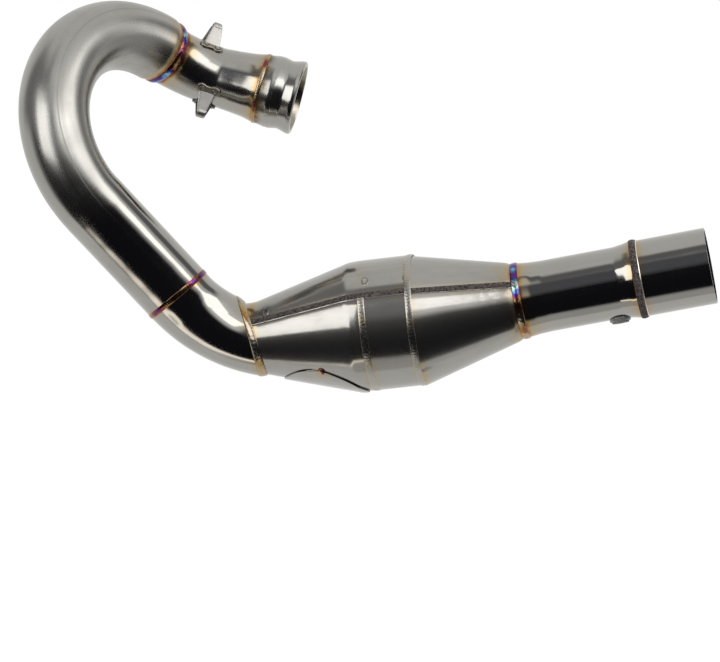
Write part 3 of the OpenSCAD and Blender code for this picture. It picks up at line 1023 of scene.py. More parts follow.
@dataclass(frozen=True)
class SteelFinish:
    """Drawn or pressed stainless steel: polish, marks, smudges and heat tint.

    roughness is the polish, spread its unevenness, grain_depth the depth of the marks in
    millimetres, ripple_depth that of the slow waves in the sheet, smudge how far handling
    dulls the colour, and tint_noise how ragged the heat colours are. haze is the share of
    light that fine scratches scatter widely. Where the mesh's polish attribute rises to 1,
    the brushing gives way to a polish; its soot attribute darkens the metal, for
    real soot and stains and for painted shade, and its pit attribute draws small ring dents.
    """

    slot: str
    roughness: float
    spread: float = 0.08
    grain: Grain = Grain.ALONG
    grain_depth: float = 0.01
    ripple_depth: float = 0.02
    ripple_scale: float = 45.0
    smudge: float = 0.1
    tint_noise: float = 0.2
    steel: tuple[float, float, float] = STEEL
    haze: float = 0.0
    seam_mark: bool = False

    def material(self) -> bpy.types.Material:
        """Builds the finish from noise on the straightened tube and on the heat beside welds.

        Returns:
            The material.
        """
        made = bpy.data.materials.new(self.slot)
        made.use_nodes = True
        pen = NodePen(made.node_tree)
        laid = pen.read("laid", "Vector")
        place = pen.add("ShaderNodeTexCoord").outputs["Object"]
        grain = pen.noise(pen.stretched(laid, self.grain.value), 1.0, 4.0, 0.6)
        fine = pen.noise(pen.stretched(laid, self.grain.value), 0.31, 2.0)
        cloud = pen.noise(place, 38.0, 4.0, 0.6)
        ragged = pen.noise(place, 210.0, 4.0, 0.65)
        heat = self.heat(pen, ragged, cloud)
        stops = ((0.0, self.steel),) + TEMPER[1:]
        colour = pen.colours(heat, stops)
        dull = pen.math("MULTIPLY", pen.ease(cloud, 0.42, 0.75), self.smudge)
        lines = pen.math("MULTIPLY", pen.ease(fine, 0.45, 0.7), self.smudge * 0.7)
        colour = pen.mixed(pen.math("ADD", dull, lines), colour, SMUDGE)
        rough = pen.math("MULTIPLY_ADD", grain, self.spread, self.roughness - self.spread / 2)
        brushed = pen.math("MULTIPLY_ADD", pen.read("polish"), -0.66, 1.0)
        rough = pen.math("MULTIPLY", rough, brushed)
        rough = pen.math("MULTIPLY_ADD", pen.ease(cloud, 0.4, 0.8), self.spread * 0.6, rough)
        rough = pen.math("MULTIPLY_ADD", pen.ease(heat, 0.3, 0.9), 0.1, rough)
        if self.seam_mark:
            mark = pen.band(pen.read("drawn"), SEAM_ZERO - 0.5, SEAM_ZERO + 0.5, 0.25)
            mark = pen.math("MULTIPLY", mark, brushed)
            rough = pen.math("MULTIPLY_ADD", mark, 0.12, rough)
            colour = pen.mixed(pen.math("MULTIPLY", mark, 0.35), colour, SEAM_SHADE)
        # Darkens the metal by the soot attribute: real soot and stains, and painted shade inside
        # the collar's bore and over the rear cone's fading reflection.
        soot = pen.math("MULTIPLY", pen.read("soot"), pen.ease(ragged, 0.2, 0.6))
        colour = pen.mixed(soot, colour, SOOT_AND_SHADE)
        rough = pen.math("MULTIPLY_ADD", soot, 0.15, rough)
        ring = pen.band(pen.read("pit"), PIT_ZERO - 2.3, PIT_ZERO - 1.5, 0.25)
        colour = pen.mixed(pen.math("MULTIPLY", ring, 0.45), colour, PIT_SHADE)
        normal = self.relief(pen, place, grain, brushed, ring)
        metal = {"Base Color": colour, "Roughness": rough, "Normal": normal, "Metallic": 1.0}
        pen.add("ShaderNodeOutputMaterial", {"Surface": self.scattered(pen, metal, cloud)})
        return made

    def relief(
        self, pen: NodePen, place: object, grain: object, brushed: object, ring: object
    ) -> object:
        """The normal: slow waves in the sheet, then its grain, fine specks and ring dents.

        Args:
            pen: Writes the nodes.
            place: The point on the piece.
            grain: The polishing marks.
            brushed: How far the brushing is left, from 0 to 1.
            ring: The ring dents.

        Returns:
            The normal.
        """
        depth = self.grain_depth * MM
        waves = pen.noise(place, self.ripple_scale, 1.0)
        speck = pen.noise(place, 900.0, 2.0, 0.7)
        normal = pen.bump(waves, 1.0, self.ripple_depth * MM * 10)
        normal = pen.bump(grain, brushed, depth, normal)
        normal = pen.bump(speck, pen.math("MULTIPLY", brushed, 0.5), depth * 0.6, normal)
        return pen.bump(ring, 1.0, PIT_DEPTH * MM, normal)

    def scattered(self, pen: NodePen, metal: dict, cloud: object) -> bpy.types.NodeSocket:
        """The metal, with a share of its light scattered widely where the finish has haze.

        Args:
            pen: Writes the nodes.
            metal: The shader's inputs.
            cloud: Slow noise, by which the share varies.

        Returns:
            The shader.
        """
        surface = pen.add("ShaderNodeBsdfPrincipled", metal).outputs[0]
        if self.haze == 0:
            return surface
        wide = pen.add("ShaderNodeBsdfPrincipled", {**metal, "Roughness": SCRATCHED}).outputs[0]
        share = pen.math("MULTIPLY_ADD", cloud, 0.4 * self.haze, 0.8 * self.haze)
        return pen.add("ShaderNodeMixShader", {0: share, 1: surface, 2: wide}).outputs[0]

    def heat(self, pen: NodePen, ragged: object, cloud: object) -> bpy.types.NodeSocket:
        """The temper attribute, made ragged where there is any.

        Args:
            pen: Writes the nodes.
            ragged: Fine noise.
            cloud: Slow noise.

        Returns:
            The heat.
        """
        heat = pen.read("temper")
        amount = pen.math("MULTIPLY", pen.ease(heat, 0.02, 0.4), self.tint_noise)
        noise = pen.math("SUBTRACT", pen.math("ADD", ragged, cloud), 1.0)
        return pen.math("ADD", heat, pen.math("MULTIPLY", noise, amount))


@dataclass(frozen=True)
class BeadFinish:
    """A weld bead: temper colours over it, dark edges, and glassy or crusted metal.

    The edges are as dark as the bead is hot. clean_toe leaves one edge as bright bare metal.
    """

    slot: str
    roughness: float = 0.22
    crust: float = 0.0
    crust_depth: float = 0.12
    colour_noise: float = 0.35
    edge: tuple[float, float, float] = (0.1, 0.05, 0.03)
    edge_share: float = 0.7
    edge_from: float = 0.18
    clean_toe: bool = False

    def material(self) -> bpy.types.Material:
        """Builds the bead from its heat and its place across the bead.

        Returns:
            The material.
        """
        made = bpy.data.materials.new(self.slot)
        made.use_nodes = True
        pen = NodePen(made.node_tree)
        place = pen.add("ShaderNodeTexCoord").outputs["Object"]
        ragged = pen.noise(place, 260.0, 3.0, 0.6)
        grit = pen.ease(pen.noise(place, 800.0, 3.0, 0.7), 0.36, 0.64)
        swing = pen.math("MULTIPLY", pen.math("SUBTRACT", ragged, 0.5), self.colour_noise)
        heat = pen.math("ADD", pen.read("temper"), swing)
        colour = pen.colours(heat, TEMPER)
        dark = pen.mixed(grit, CRUST_HOLLOW, CRUST_GRAIN)
        colour = pen.mixed(self.crust, colour, dark)
        away = pen.math("ABSOLUTE", pen.read("across"))
        edge_heat = pen.ease(heat, self.edge_from, self.edge_from + 0.32)
        hot = pen.math("MULTIPLY", edge_heat, self.edge_share)
        rim = pen.math("MULTIPLY", pen.ease(away, 0.62, 0.98), hot)
        colour = pen.mixed(rim, colour, self.edge)
        rough = pen.math("MULTIPLY_ADD", grit, 0.1 + 0.3 * self.crust, self.roughness)
        coarse = 1.0
        if self.clean_toe:
            toe = pen.ease(pen.read("across"), 0.72, 0.86)
            colour = pen.mixed(toe, colour, BARE_TOE)
            rough = pen.math("MULTIPLY", rough, pen.math("MULTIPLY_ADD", toe, -0.7, 1.0))
            coarse = pen.math("SUBTRACT", 1.0, toe)
        normal = pen.bump(grit, coarse, self.crust_depth * MM * (0.15 + self.crust))
        normal = pen.bump(ragged, 0.6, 0.15 * MM, normal)
        shader = pen.add(
            "ShaderNodeBsdfPrincipled",
            {"Base Color": colour, "Roughness": rough, "Normal": normal, "Metallic": 1.0},
        )
        pen.add("ShaderNodeOutputMaterial", {"Surface": shader.outputs[0]})
        return made


FINISHES = (
    SteelFinish("collar_steel", 0.17, spread=0.1, grain=Grain.AROUND, grain_depth=0.02,
                ripple_depth=0.004, smudge=0.1),
    SteelFinish("brushed_tube", 0.27, spread=0.12, grain_depth=0.012, ripple_depth=0.015,
                smudge=0.16, tint_noise=0.3, seam_mark=True),
    SteelFinish("polished_tube", 0.09, spread=0.06, grain_depth=0.003, ripple_depth=0.01,
                smudge=0.08),
    SteelFinish("polished_shell", 0.13, spread=0.06, grain_depth=0.003, ripple_depth=0.03,
                ripple_scale=30.0, smudge=0.12, haze=0.18),
    SteelFinish("hook_steel", 0.36, spread=0.12, grain=Grain.EVEN, ripple_depth=0.01, smudge=0.2,
                steel=(0.37, 0.36, 0.345)),
    SteelFinish("badge_steel", 0.12, spread=0.06, grain_depth=0.003, smudge=0.15),
    SteelFinish("boss_steel", 0.55, spread=0.05, grain=Grain.EVEN, grain_depth=0.002,
                ripple_depth=0.002, steel=(0.4, 0.4, 0.4)),
    SteelFinish("plug_dark", 0.6, spread=0.05, grain=Grain.EVEN, grain_depth=0.002,
                ripple_depth=0.002, steel=(0.3, 0.3, 0.3)),
    BeadFinish("weld_tinted", 0.2, crust_depth=0.1, colour_noise=0.3),
    BeadFinish("weld_rainbow", 0.14, crust_depth=0.06, colour_noise=0.5, edge=(0.12, 0.03, 0.05)),
    BeadFinish("weld_dark", 0.4, crust=0.95, crust_depth=0.4, colour_noise=0.2,
               edge=(0.12, 0.08, 0.05), clean_toe=True),
    BeadFinish("spot_steel", 0.3, crust=0.1, crust_depth=0.04, colour_noise=0.1,
               edge=(0.015, 0.012, 0.01), edge_share=1.0, edge_from=-0.4),
)


class Workshop:
    """Hands out the materials and fastens finished pieces to the frame."""

    def __init__(self) -> None:
        """Builds every finish once."""
        self.materials = {finish.slot: finish.material() for finish in FINISHES}

    def fit(self, node: str, slot: str, sheets: list[Sheet]) -> None:
        """Makes a piece that stands for a CAD node, and reports it.

        Args:
            node: The CAD node.
            slot: The record's material slot.
            sheets: The piece's surfaces.
        """
        made = sheet_object(node + "_look", sheets)
        made.data.materials.append(self.materials[slot])
        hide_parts(node)
        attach(made, "root")
        log.info("%s: %d faces in %s", made.name, len(made.data.polygons), slot)


@dataclass
class PortEnd:
    """The machined collar, its weld, and the inlet tube up to the loop's weld."""

    route: Route
    root_r: float = 24.0
    bore_r: float = 22.4
    lead_in: float = 0.6
    lead_len: float = 0.9
    lip_r: float = 25.6
    lip_w: float = 3.0
    lip_chamfer: float = 0.8
    neck_r: float = 24.0
    hump_r: float = 25.1
    collar_len: float = 26.5
    weld_w: float = 3.0

    def build(self, shop: Workshop) -> Skin:
        """Builds the three pieces and returns the inlet tube's skin for the hooks.

        Args:
            shop: Takes the pieces.

        Returns:
            The inlet tube's outside.
        """
        path, at = self.route.head_path()
        weld = self.collar_len
        shop.fit("port_collar", "collar_steel", [self.collar(path)])
        inlet = self.inlet_skin(path, at)
        bead = Bead(self.weld_w, rise=0.4, ripple_pitch=1.1, ripple_rise=0.13, sweep=0.5,
                    heat_swing=0.28, seed=1.4)
        shop.fit("collar_weld", "weld_tinted", [ring_bead(inlet, weld, bead)])
        end = at["neck"] + self.route.bend_weld_at - self.route.bend_weld_w / 2
        glows = [
            Glow(weld, 0.62, 5.0, 1.1),
            Glow(weld, 0.36, 15.0, 2.2),
            Glow(end, 0.66, 5.5, 3.3),
            Glow(end, 0.42, 17.0, 4.1),
        ]
        start = weld + self.weld_w / 2 - 0.4
        tube = tube_wall(inlet, start, end + 0.6, self.route.wall, glows)
        tube.extra["polish"] = np.full(tube.heat.shape, 0.65)
        shop.fit("inlet_tube", "brushed_tube", [tube])
        return inlet

    def inlet_skin(self, path: Path, at: dict[str, float]) -> Skin:
        """The inlet tube's outside: flared at the collar, slimmer in its bend.

        Args:
            path: The centreline.
            at: Distances of its stations.

        Returns:
            The skin.
        """
        tube_r = self.route.inlet_r
        grow = self.root_r - tube_r
        start = self.collar_len + self.weld_w / 2
        run = self.route.inlet_run - start
        slim = tube_r - self.route.bend_thinning
        stations = [0, start, start + 0.18 * run, start + 0.34 * run, start + 0.68 * run,
                    self.route.inlet_run, at["inlet"] + 3, at["neck"] - 3, at["neck"]]
        radii = [self.root_r, self.root_r, tube_r + 0.65 * grow, tube_r + 0.46 * grow,
                 tube_r + 0.18 * grow, tube_r, slim, slim, tube_r]
        return Skin(path, stations, radii, 3.0)

    def collar(self, path: Path) -> Sheet:
        """The collar's wall: lip, waist and hump outside, a bore with a lead-in inside.

        Args:
            path: The centreline.

        Returns:
            The sheet.
        """
        root = self.collar_len - self.weld_w / 2
        mid = (self.lip_r + self.neck_r) / 2
        hump_mid = (self.hump_r + self.neck_r) / 2
        lip = self.lip_w
        skin = Skin(
            path,
            [lip - 0.4, lip, lip + 0.11 * root, lip + 0.24 * root, lip + 0.3 * root,
             lip + 0.4 * root, lip + 0.5 * root, lip + 0.64 * root, lip + 0.75 * root, root],
            [self.lip_r, self.lip_r, mid, self.neck_r, self.neck_r, hump_mid, self.hump_r,
             self.hump_r, hump_mid, self.root_r],
            0.9,
        )
        outside = np.linspace(self.lip_chamfer, root, 90)
        s = np.concatenate([[0, 0], outside, [root, self.lead_len, 0]])[:, None]
        edge = self.lip_r - self.lip_chamfer
        mouth = self.bore_r + self.lead_in
        r = np.concatenate([
            [mouth, edge], skin.radius(outside), [self.bore_r, self.bore_r, mouth]])[:, None]
        angle = round_angles(144)[None, :]
        lift = r - skin.radius(s) + 0 * angle
        glow = Glow(self.collar_len, 0.6, 5.0, 2.0)
        # Inside the bore, a brown tint that fades from the mouth and a darkening of 0.35 are
        # painted shade of the hollow; outside, the darkening beside the weld is soot.
        soot = Glow(4.0, 0.33, 30.0, 1.0)
        inner = (r < self.bore_r + 0.5) & (s > 0.5)
        heat = np.where(inner, soot.on(s - soot.at, angle), glow.on(s - glow.at, angle))
        sheet = Sheet(skin.at(s, angle, lift), skin.laid(s, angle), heat)
        sheet.extra["soot"] = np.where(inner, 0.35, Glow(root, 0.8, 3.2, 5.0).on(s - root, angle))
        return sheet


@dataclass
class SpringHooks:
    """Two folded strips with dog-bone feet and spot welds, on the inlet tube's bend."""

    route: Route
    upper_at: float = 16
    upper_turn: float = 86
    lower_at: float = 7.5
    lower_turn: float = -61
    strip_t: float = 1.5
    height: float = 14.9
    top_r: float = 3.6
    foot_turn: float = 27
    spot_pitch: float = 9
    lobe_r: float = 3.9
    waist_half: float = 3
    tongue_tip_w: float = 5.6
    spot_r: float = 2.3
    spot_h: float = 0.4
    spot_heat: float = 0.2

    @property
    def tube_r(self) -> float:
        """The inlet tube's radius in its bend, where the hooks stand."""
        return self.route.inlet_r - self.route.bend_thinning

    def build(self, shop: Workshop, inlet: Skin) -> None:
        """Builds both hooks and their spot welds.

        Args:
            shop: Takes the pieces.
            inlet: The inlet tube's outside.
        """
        for side, at, turn in (
            ("upper", self.upper_at, self.upper_turn),
            ("lower", self.lower_at, self.lower_turn),
        ):
            s = self.route.inlet_run + math.radians(at) * self.route.inlet_bend_r
            out = self.outward(inlet, s, turn)
            middle = inlet.angle_of(s, out)
            tilt = math.radians(self.foot_turn)
            parts = self.arch(inlet, s, out)
            spots: list[Sheet] = []
            for way in (-1, 1):
                parts += self.foot(inlet, s, middle + way * tilt)
                spots += self.spots(inlet, s, middle + way * tilt, way)
            shop.fit("spring_hook_" + side, "hook_steel", parts)
            shop.fit("spot_welds_" + side, "spot_steel", spots)

    @staticmethod
    def outward(inlet: Skin, s: float, turn: float) -> np.ndarray:
        """The direction in which a hook stands, from its turn above the near side.

        Args:
            inlet: The inlet tube's outside.
            s: The hook's distance along it.
            turn: Its turn, degrees.

        Returns:
            The direction.
        """
        _, x_axis, y_axis = inlet.path.frames(np.array([s]))
        along = np.cross(x_axis[0], y_axis[0])
        near = square_to(along, NEAR_SIDE)
        t = math.radians(turn)
        return math.cos(t) * near + math.sin(t) * np.cross(along, near)

    def foot(self, inlet: Skin, s: float, angle: float) -> list[Sheet]:
        """A dog-bone plate on the tube: two round lobes joined by a waist, edges rolled off.

        Args:
            inlet: The inlet tube's outside.
            s: The hook's distance along it.
            angle: Angle of the foot's middle.

        Returns:
            The plate's sheets.
        """
        u = -np.cos(np.linspace(0, math.pi, 61))[:, None]
        v = np.sin(np.linspace(-math.pi / 2, math.pi / 2, 21))[None, :]
        x = u * (self.spot_pitch / 2 + self.lobe_r)
        lobe = np.sqrt(np.clip(self.lobe_r**2 - (np.abs(x) - self.spot_pitch / 2) ** 2, 0, None))
        waist = np.where(np.abs(x) < self.spot_pitch / 2, self.waist_half, 0)
        half = np.maximum(lobe, waist)
        off = v * half
        top = self.strip_t * (1 - 0.5 * np.maximum(np.abs(v), np.abs(u) ** 3) ** 14)
        a = angle + off / (self.tube_r + self.strip_t)
        along = s + x / self.stretch(inlet, s, a)
        plates = slab(inlet, along, a, top, np.full_like(top, -0.15), 0.3 + 0 * top)
        for plate in plates:
            plate.extra["soot"] = np.full(plate.heat.shape, 0.16)
        return plates

    def stretch(self, inlet: Skin, s: float, angle: np.ndarray) -> np.ndarray:
        """How much longer than the centreline the tube's surface is, outside or inside the bend.

        The ratio is 1 - r / R * cos(angle from the bend's inner side).

        Args:
            inlet: The inlet tube's outside.
            s: Distance along it.
            angle: Angles round it.

        Returns:
            The ratios.
        """
        bend = next(leg for leg in inlet.path.legs if leg.bend_r > 0)
        inner = inlet.angle_of(s, bend.side)
        return 1 - self.tube_r / self.route.inlet_bend_r * np.cos(angle - inner)

    def spots(self, inlet: Skin, s: float, angle: float, way: int) -> list[Sheet]:
        """Spot welds: shallow dishes with a raised ring, turned about their middles.

        Args:
            inlet: The inlet tube's outside.
            s: The hook's distance along it.
            angle: Angle of the foot's middle.
            way: Side of the hook, -1 or 1.

        Returns:
            One sheet for each spot.
        """
        ring = np.array([0.02, 0.3, 0.55, 0.75, 0.9, 1.0, 1.0, 0.02])[:, None]
        rise = np.array([0.1, 0.1, 0.2, 1.0, 0.9, 0.0, -0.6, -0.6])[:, None] * self.spot_h
        turn = round_angles(32)[None, :]
        made = []
        for k in (-1, 1):
            x = k * self.spot_pitch / 2 + self.spot_r * ring * np.cos(turn)
            off = 0.25 * way * self.lobe_r + self.spot_r * ring * np.sin(turn)
            a = angle + off / (self.tube_r + self.strip_t)
            lift = self.strip_t + rise + 0 * turn
            along = s + x / self.stretch(inlet, s, a)
            sheet = Sheet(inlet.at(along, a, lift), inlet.laid(along, a), self.spot_heat + 0 * lift)
            sheet.extra["across"] = ring * 0.95 + 0 * turn
            made.append(sheet)
        return made

    def arch(self, inlet: Skin, s: float, out: np.ndarray) -> list[Sheet]:
        """The folded strip: straight legs up to a round top, narrower towards the top.

        The middle line is a leg, a half circle and the other leg. The outside and the
        inside lie half a thickness to each side of it.

        Args:
            inlet: The inlet tube's outside.
            s: The hook's distance along it.
            out: The way that it stands.

        Returns:
            The strip's sheets.
        """
        centre, x_axis, y_axis = inlet.path.frames(np.array([s]))
        along = np.cross(x_axis[0], y_axis[0])
        across = np.cross(out, along)
        t = self.strip_t
        top = self.tube_r + self.height - t / 2
        r = self.top_r - t / 2
        tilt = math.radians(self.foot_turn)
        foot_w = (self.tube_r + t) * math.sin(tilt) - 0.4 * self.lobe_r
        foot_h = (self.tube_r + 0.4 * t) * math.cos(tilt)
        leg = np.linspace(0, 1, 24)
        arc = np.linspace(math.pi, 0, 25)[1:-1]
        w = np.concatenate([-foot_w + leg * (foot_w - r), r * np.cos(arc), r + leg * (foot_w - r)])
        low = top - r
        h = np.concatenate([
            foot_h + leg * (low - foot_h), low + r * np.sin(arc), low - leg * (low - foot_h)])
        slope = np.stack([np.gradient(w), np.gradient(h)])
        slope /= np.linalg.norm(slope, axis=0)
        normal = np.stack([-slope[1], slope[0]])
        base = self.spot_pitch / 2 + 0.35 * self.lobe_r
        tip = self.tongue_tip_w / 2
        crown = self.tube_r + self.height
        heights = [foot_h, crown - 4, crown - 1.4, crown]
        half = np.interp(h, heights, [base, tip + 0.8, tip, tip - 1])
        v = np.sin(np.linspace(-math.pi / 2, math.pi / 2, 15))[None, :]
        rolled = (t / 2) * (1 - 0.35 * np.abs(v) ** 10)
        faces = []
        for way in (1, -1):
            ww = w[:, None] + way * rolled * normal[0][:, None]
            hh = h[:, None] + way * rolled * normal[1][:, None]
            faces.append(
                centre[0]
                + (half[:, None] * v)[..., None] * along
                + ww[..., None] * across
                + hh[..., None] * out
            )
        points = np.concatenate([faces[0], faces[1][::-1]])
        return closed(points, points - centre[0], np.full(points.shape[:2], 0.05))


@dataclass
class HeadPipe:
    """The big loop, the elbow and the three welds that join them."""

    route: Route
    neck_swage: float = 1.6
    facet_gap: float = 0.02
    lower_weld_w: float = 4.0
    inlet_bead_w: float = 6.2
    lower_cut: tuple[float, float] = (-50, -4)
    drawn_turn: float = 62
    polish_from: float = 272
    polish_run: float = 56

    def build(self, shop: Workshop, front: Skin) -> None:
        """Builds the five pieces. The last weld reaches across to the chamber's front skin.

        Args:
            shop: Takes the pieces.
            front: The chamber's front outside.
        """
        route = self.route
        path, at = route.head_path()
        skin = self.main_skin(path, at)
        weld_at = at["neck"] + route.bend_weld_at
        shop.fit("bend_weld", "weld_rainbow", [self.step_bead(path, weld_at)])
        lower_point = path.frames(np.array([at["elbow"] - route.lower_weld_back]))[0][0]
        lower_normal = heading(*self.lower_cut)
        bead = Bead(self.lower_weld_w, rise=0.42, ripple_pitch=1.6, ripple_rise=0.05, sweep=0.5,
                    heat=0.7, heat_swing=0.12, seed=2.0, tilt=-0.08)
        fine = round_angles(bead_columns(route.main_r - route.bend_thinning, bead))[None, :]
        ring = skin.cut(lower_point, lower_normal, fine, at["elbow"])
        shop.fit("lower_weld", "weld_rainbow", [ring_bead(skin, ring, bead)])
        angle = round_angles(TUBE_COLUMNS)[None, :]
        lower = skin.cut(lower_point, lower_normal, angle, at["elbow"])
        inlet_point = path.frames(np.array([at["chamber"]]))[0][0]
        inlet_normal = heading(*route.inlet_cut)
        inlet = skin.cut(inlet_point, inlet_normal, angle, at["chamber"])
        main = self.main_bend(skin, weld_at + route.bend_weld_w / 2, lower, angle)
        shop.fit("main_bend", "brushed_tube", [main])
        shop.fit("elbow", "polished_tube", [self.elbow(skin, lower, inlet, angle)])
        bead = Bead(self.inlet_bead_w, rise=0.85, ripple_pitch=2.6, ripple_rise=0.08, sweep=0.9,
                    uneven=0.15, heat=0.4, seed=4.0)
        weld = bridge_bead(skin, front, inlet_point, inlet_normal, at["chamber"], bead)
        shop.fit("chamber_inlet_weld", "weld_tinted", [weld])

    def main_bend(
        self, skin: Skin, start: float, lower: np.ndarray, angle: np.ndarray
    ) -> Sheet:
        """The loop's tube, with its seam mark. Past the long run's start it is polished.

        The polish rises as a smooth step, 3 x^2 - 2 x^3, over polish_run.

        Args:
            skin: The main tube's outside.
            start: Distance of the bend weld's far edge.
            lower: Distance of the slanting lower cut, one for each column.
            angle: Angles of the columns.

        Returns:
            The sheet.
        """
        drawn = math.radians(self.drawn_turn)
        glows = [Glow(start, 0.62, 5.0, 5.0), Glow(start, 0.38, 16.0, 1.0)]
        main = tube_wall(skin, start - 0.6, lower - 1.4, self.route.wall, glows, drawn_at=drawn)
        self.add_glow(main, lower, angle, Glow(0, 0.6, 3.4, 2.0))
        past = np.clip((main.laid[..., 2] - self.polish_from) / self.polish_run, 0, 1)
        main.extra["polish"] = past * past * (3 - 2 * past)
        return main

    def elbow(
        self, skin: Skin, lower: np.ndarray, inlet: np.ndarray, angle: np.ndarray
    ) -> Sheet:
        """The elbow, cut aslant at both ends.

        Args:
            skin: The main tube's outside.
            lower: Distance of the lower cut, one for each column.
            inlet: Distance of the chamber's inlet cut, one for each column.
            angle: Angles of the columns.

        Returns:
            The sheet.
        """
        elbow = tube_wall(skin, lower + 1.4, inlet - 1.8, self.route.wall, [], 1.2)
        self.add_glow(elbow, lower, angle, Glow(0, 0.58, 4.0, 4.0))
        self.add_glow(elbow, inlet, angle, Glow(0, 0.55, 5.0, 6.0))
        self.add_glow(elbow, inlet, angle, Glow(0, 0.33, 12.0, 7.0))
        return elbow

    def main_skin(self, path: Path, at: dict[str, float]) -> Skin:
        """The main tube's outside: drawn in at the bend weld, slimmer in its two bends.

        Args:
            path: The centreline.
            at: Distances of its stations.

        Returns:
            The skin.
        """
        r = self.route.main_r - self.facet_gap
        slim = r - self.route.bend_thinning
        swaged = r - self.neck_swage
        weld_end = at["neck"] + self.route.bend_weld_at + self.route.bend_weld_w / 2
        stations = [at["neck"], weld_end, at["loop"], at["lower"] - 8, at["lower"] + 4,
                    at["elbow"] - 4, at["elbow"] + 8, at["chamber"] + 20]
        return Skin(path, stations, [swaged, swaged, slim, slim, r, r, slim, slim], 2.0)

    @staticmethod
    def add_glow(sheet: Sheet, ring: np.ndarray, angle: np.ndarray, glow: Glow) -> None:
        """Adds the heat beside a slanted weld: the distance runs along each line of the tube.

        Args:
            sheet: The tube.
            ring: The weld's distance, one for each column.
            angle: Angles of the columns.
            glow: The heat.
        """
        s = sheet.laid[..., 2]
        sheet.heat = np.maximum(sheet.heat, glow.on(s - ring, angle))

    def step_bead(self, path: Path, at: float) -> Sheet:
        """The wide bead at the loop, on a skin that steps up to the loop's drawn-in end.

        Args:
            path: The centreline.
            at: The bead's distance along it.

        Returns:
            The sheet.
        """
        w = self.route.bend_weld_w / 2
        start_r = self.route.inlet_r
        end_r = self.route.main_r - self.neck_swage
        step = end_r - start_r
        skin = Skin(
            path,
            [at - w, at - 0.72 * w, at - 0.2 * w, at + 0.25 * w, at + w],
            [start_r, start_r + 0.3 * step, start_r + 0.8 * step, end_r, end_r],
            1.0,
        )
        bead = Bead(self.route.bend_weld_w, rise=0.6, ripple_pitch=4.2, ripple_rise=0.25,
                    sweep=1.1, uneven=0.25, sunk=0.8, heat=0.74, heat_swing=0.32, seed=4.0)
        return ring_bead(skin, at, bead)


@dataclass(frozen=True)
class Marks:
    """The stains and painted shade on a shell, and its small ring dents, each dent as its place and
    its turn.
    """

    dark_patches: tuple[DarkPatch, ...]
    pits: tuple[tuple[float, float], ...]


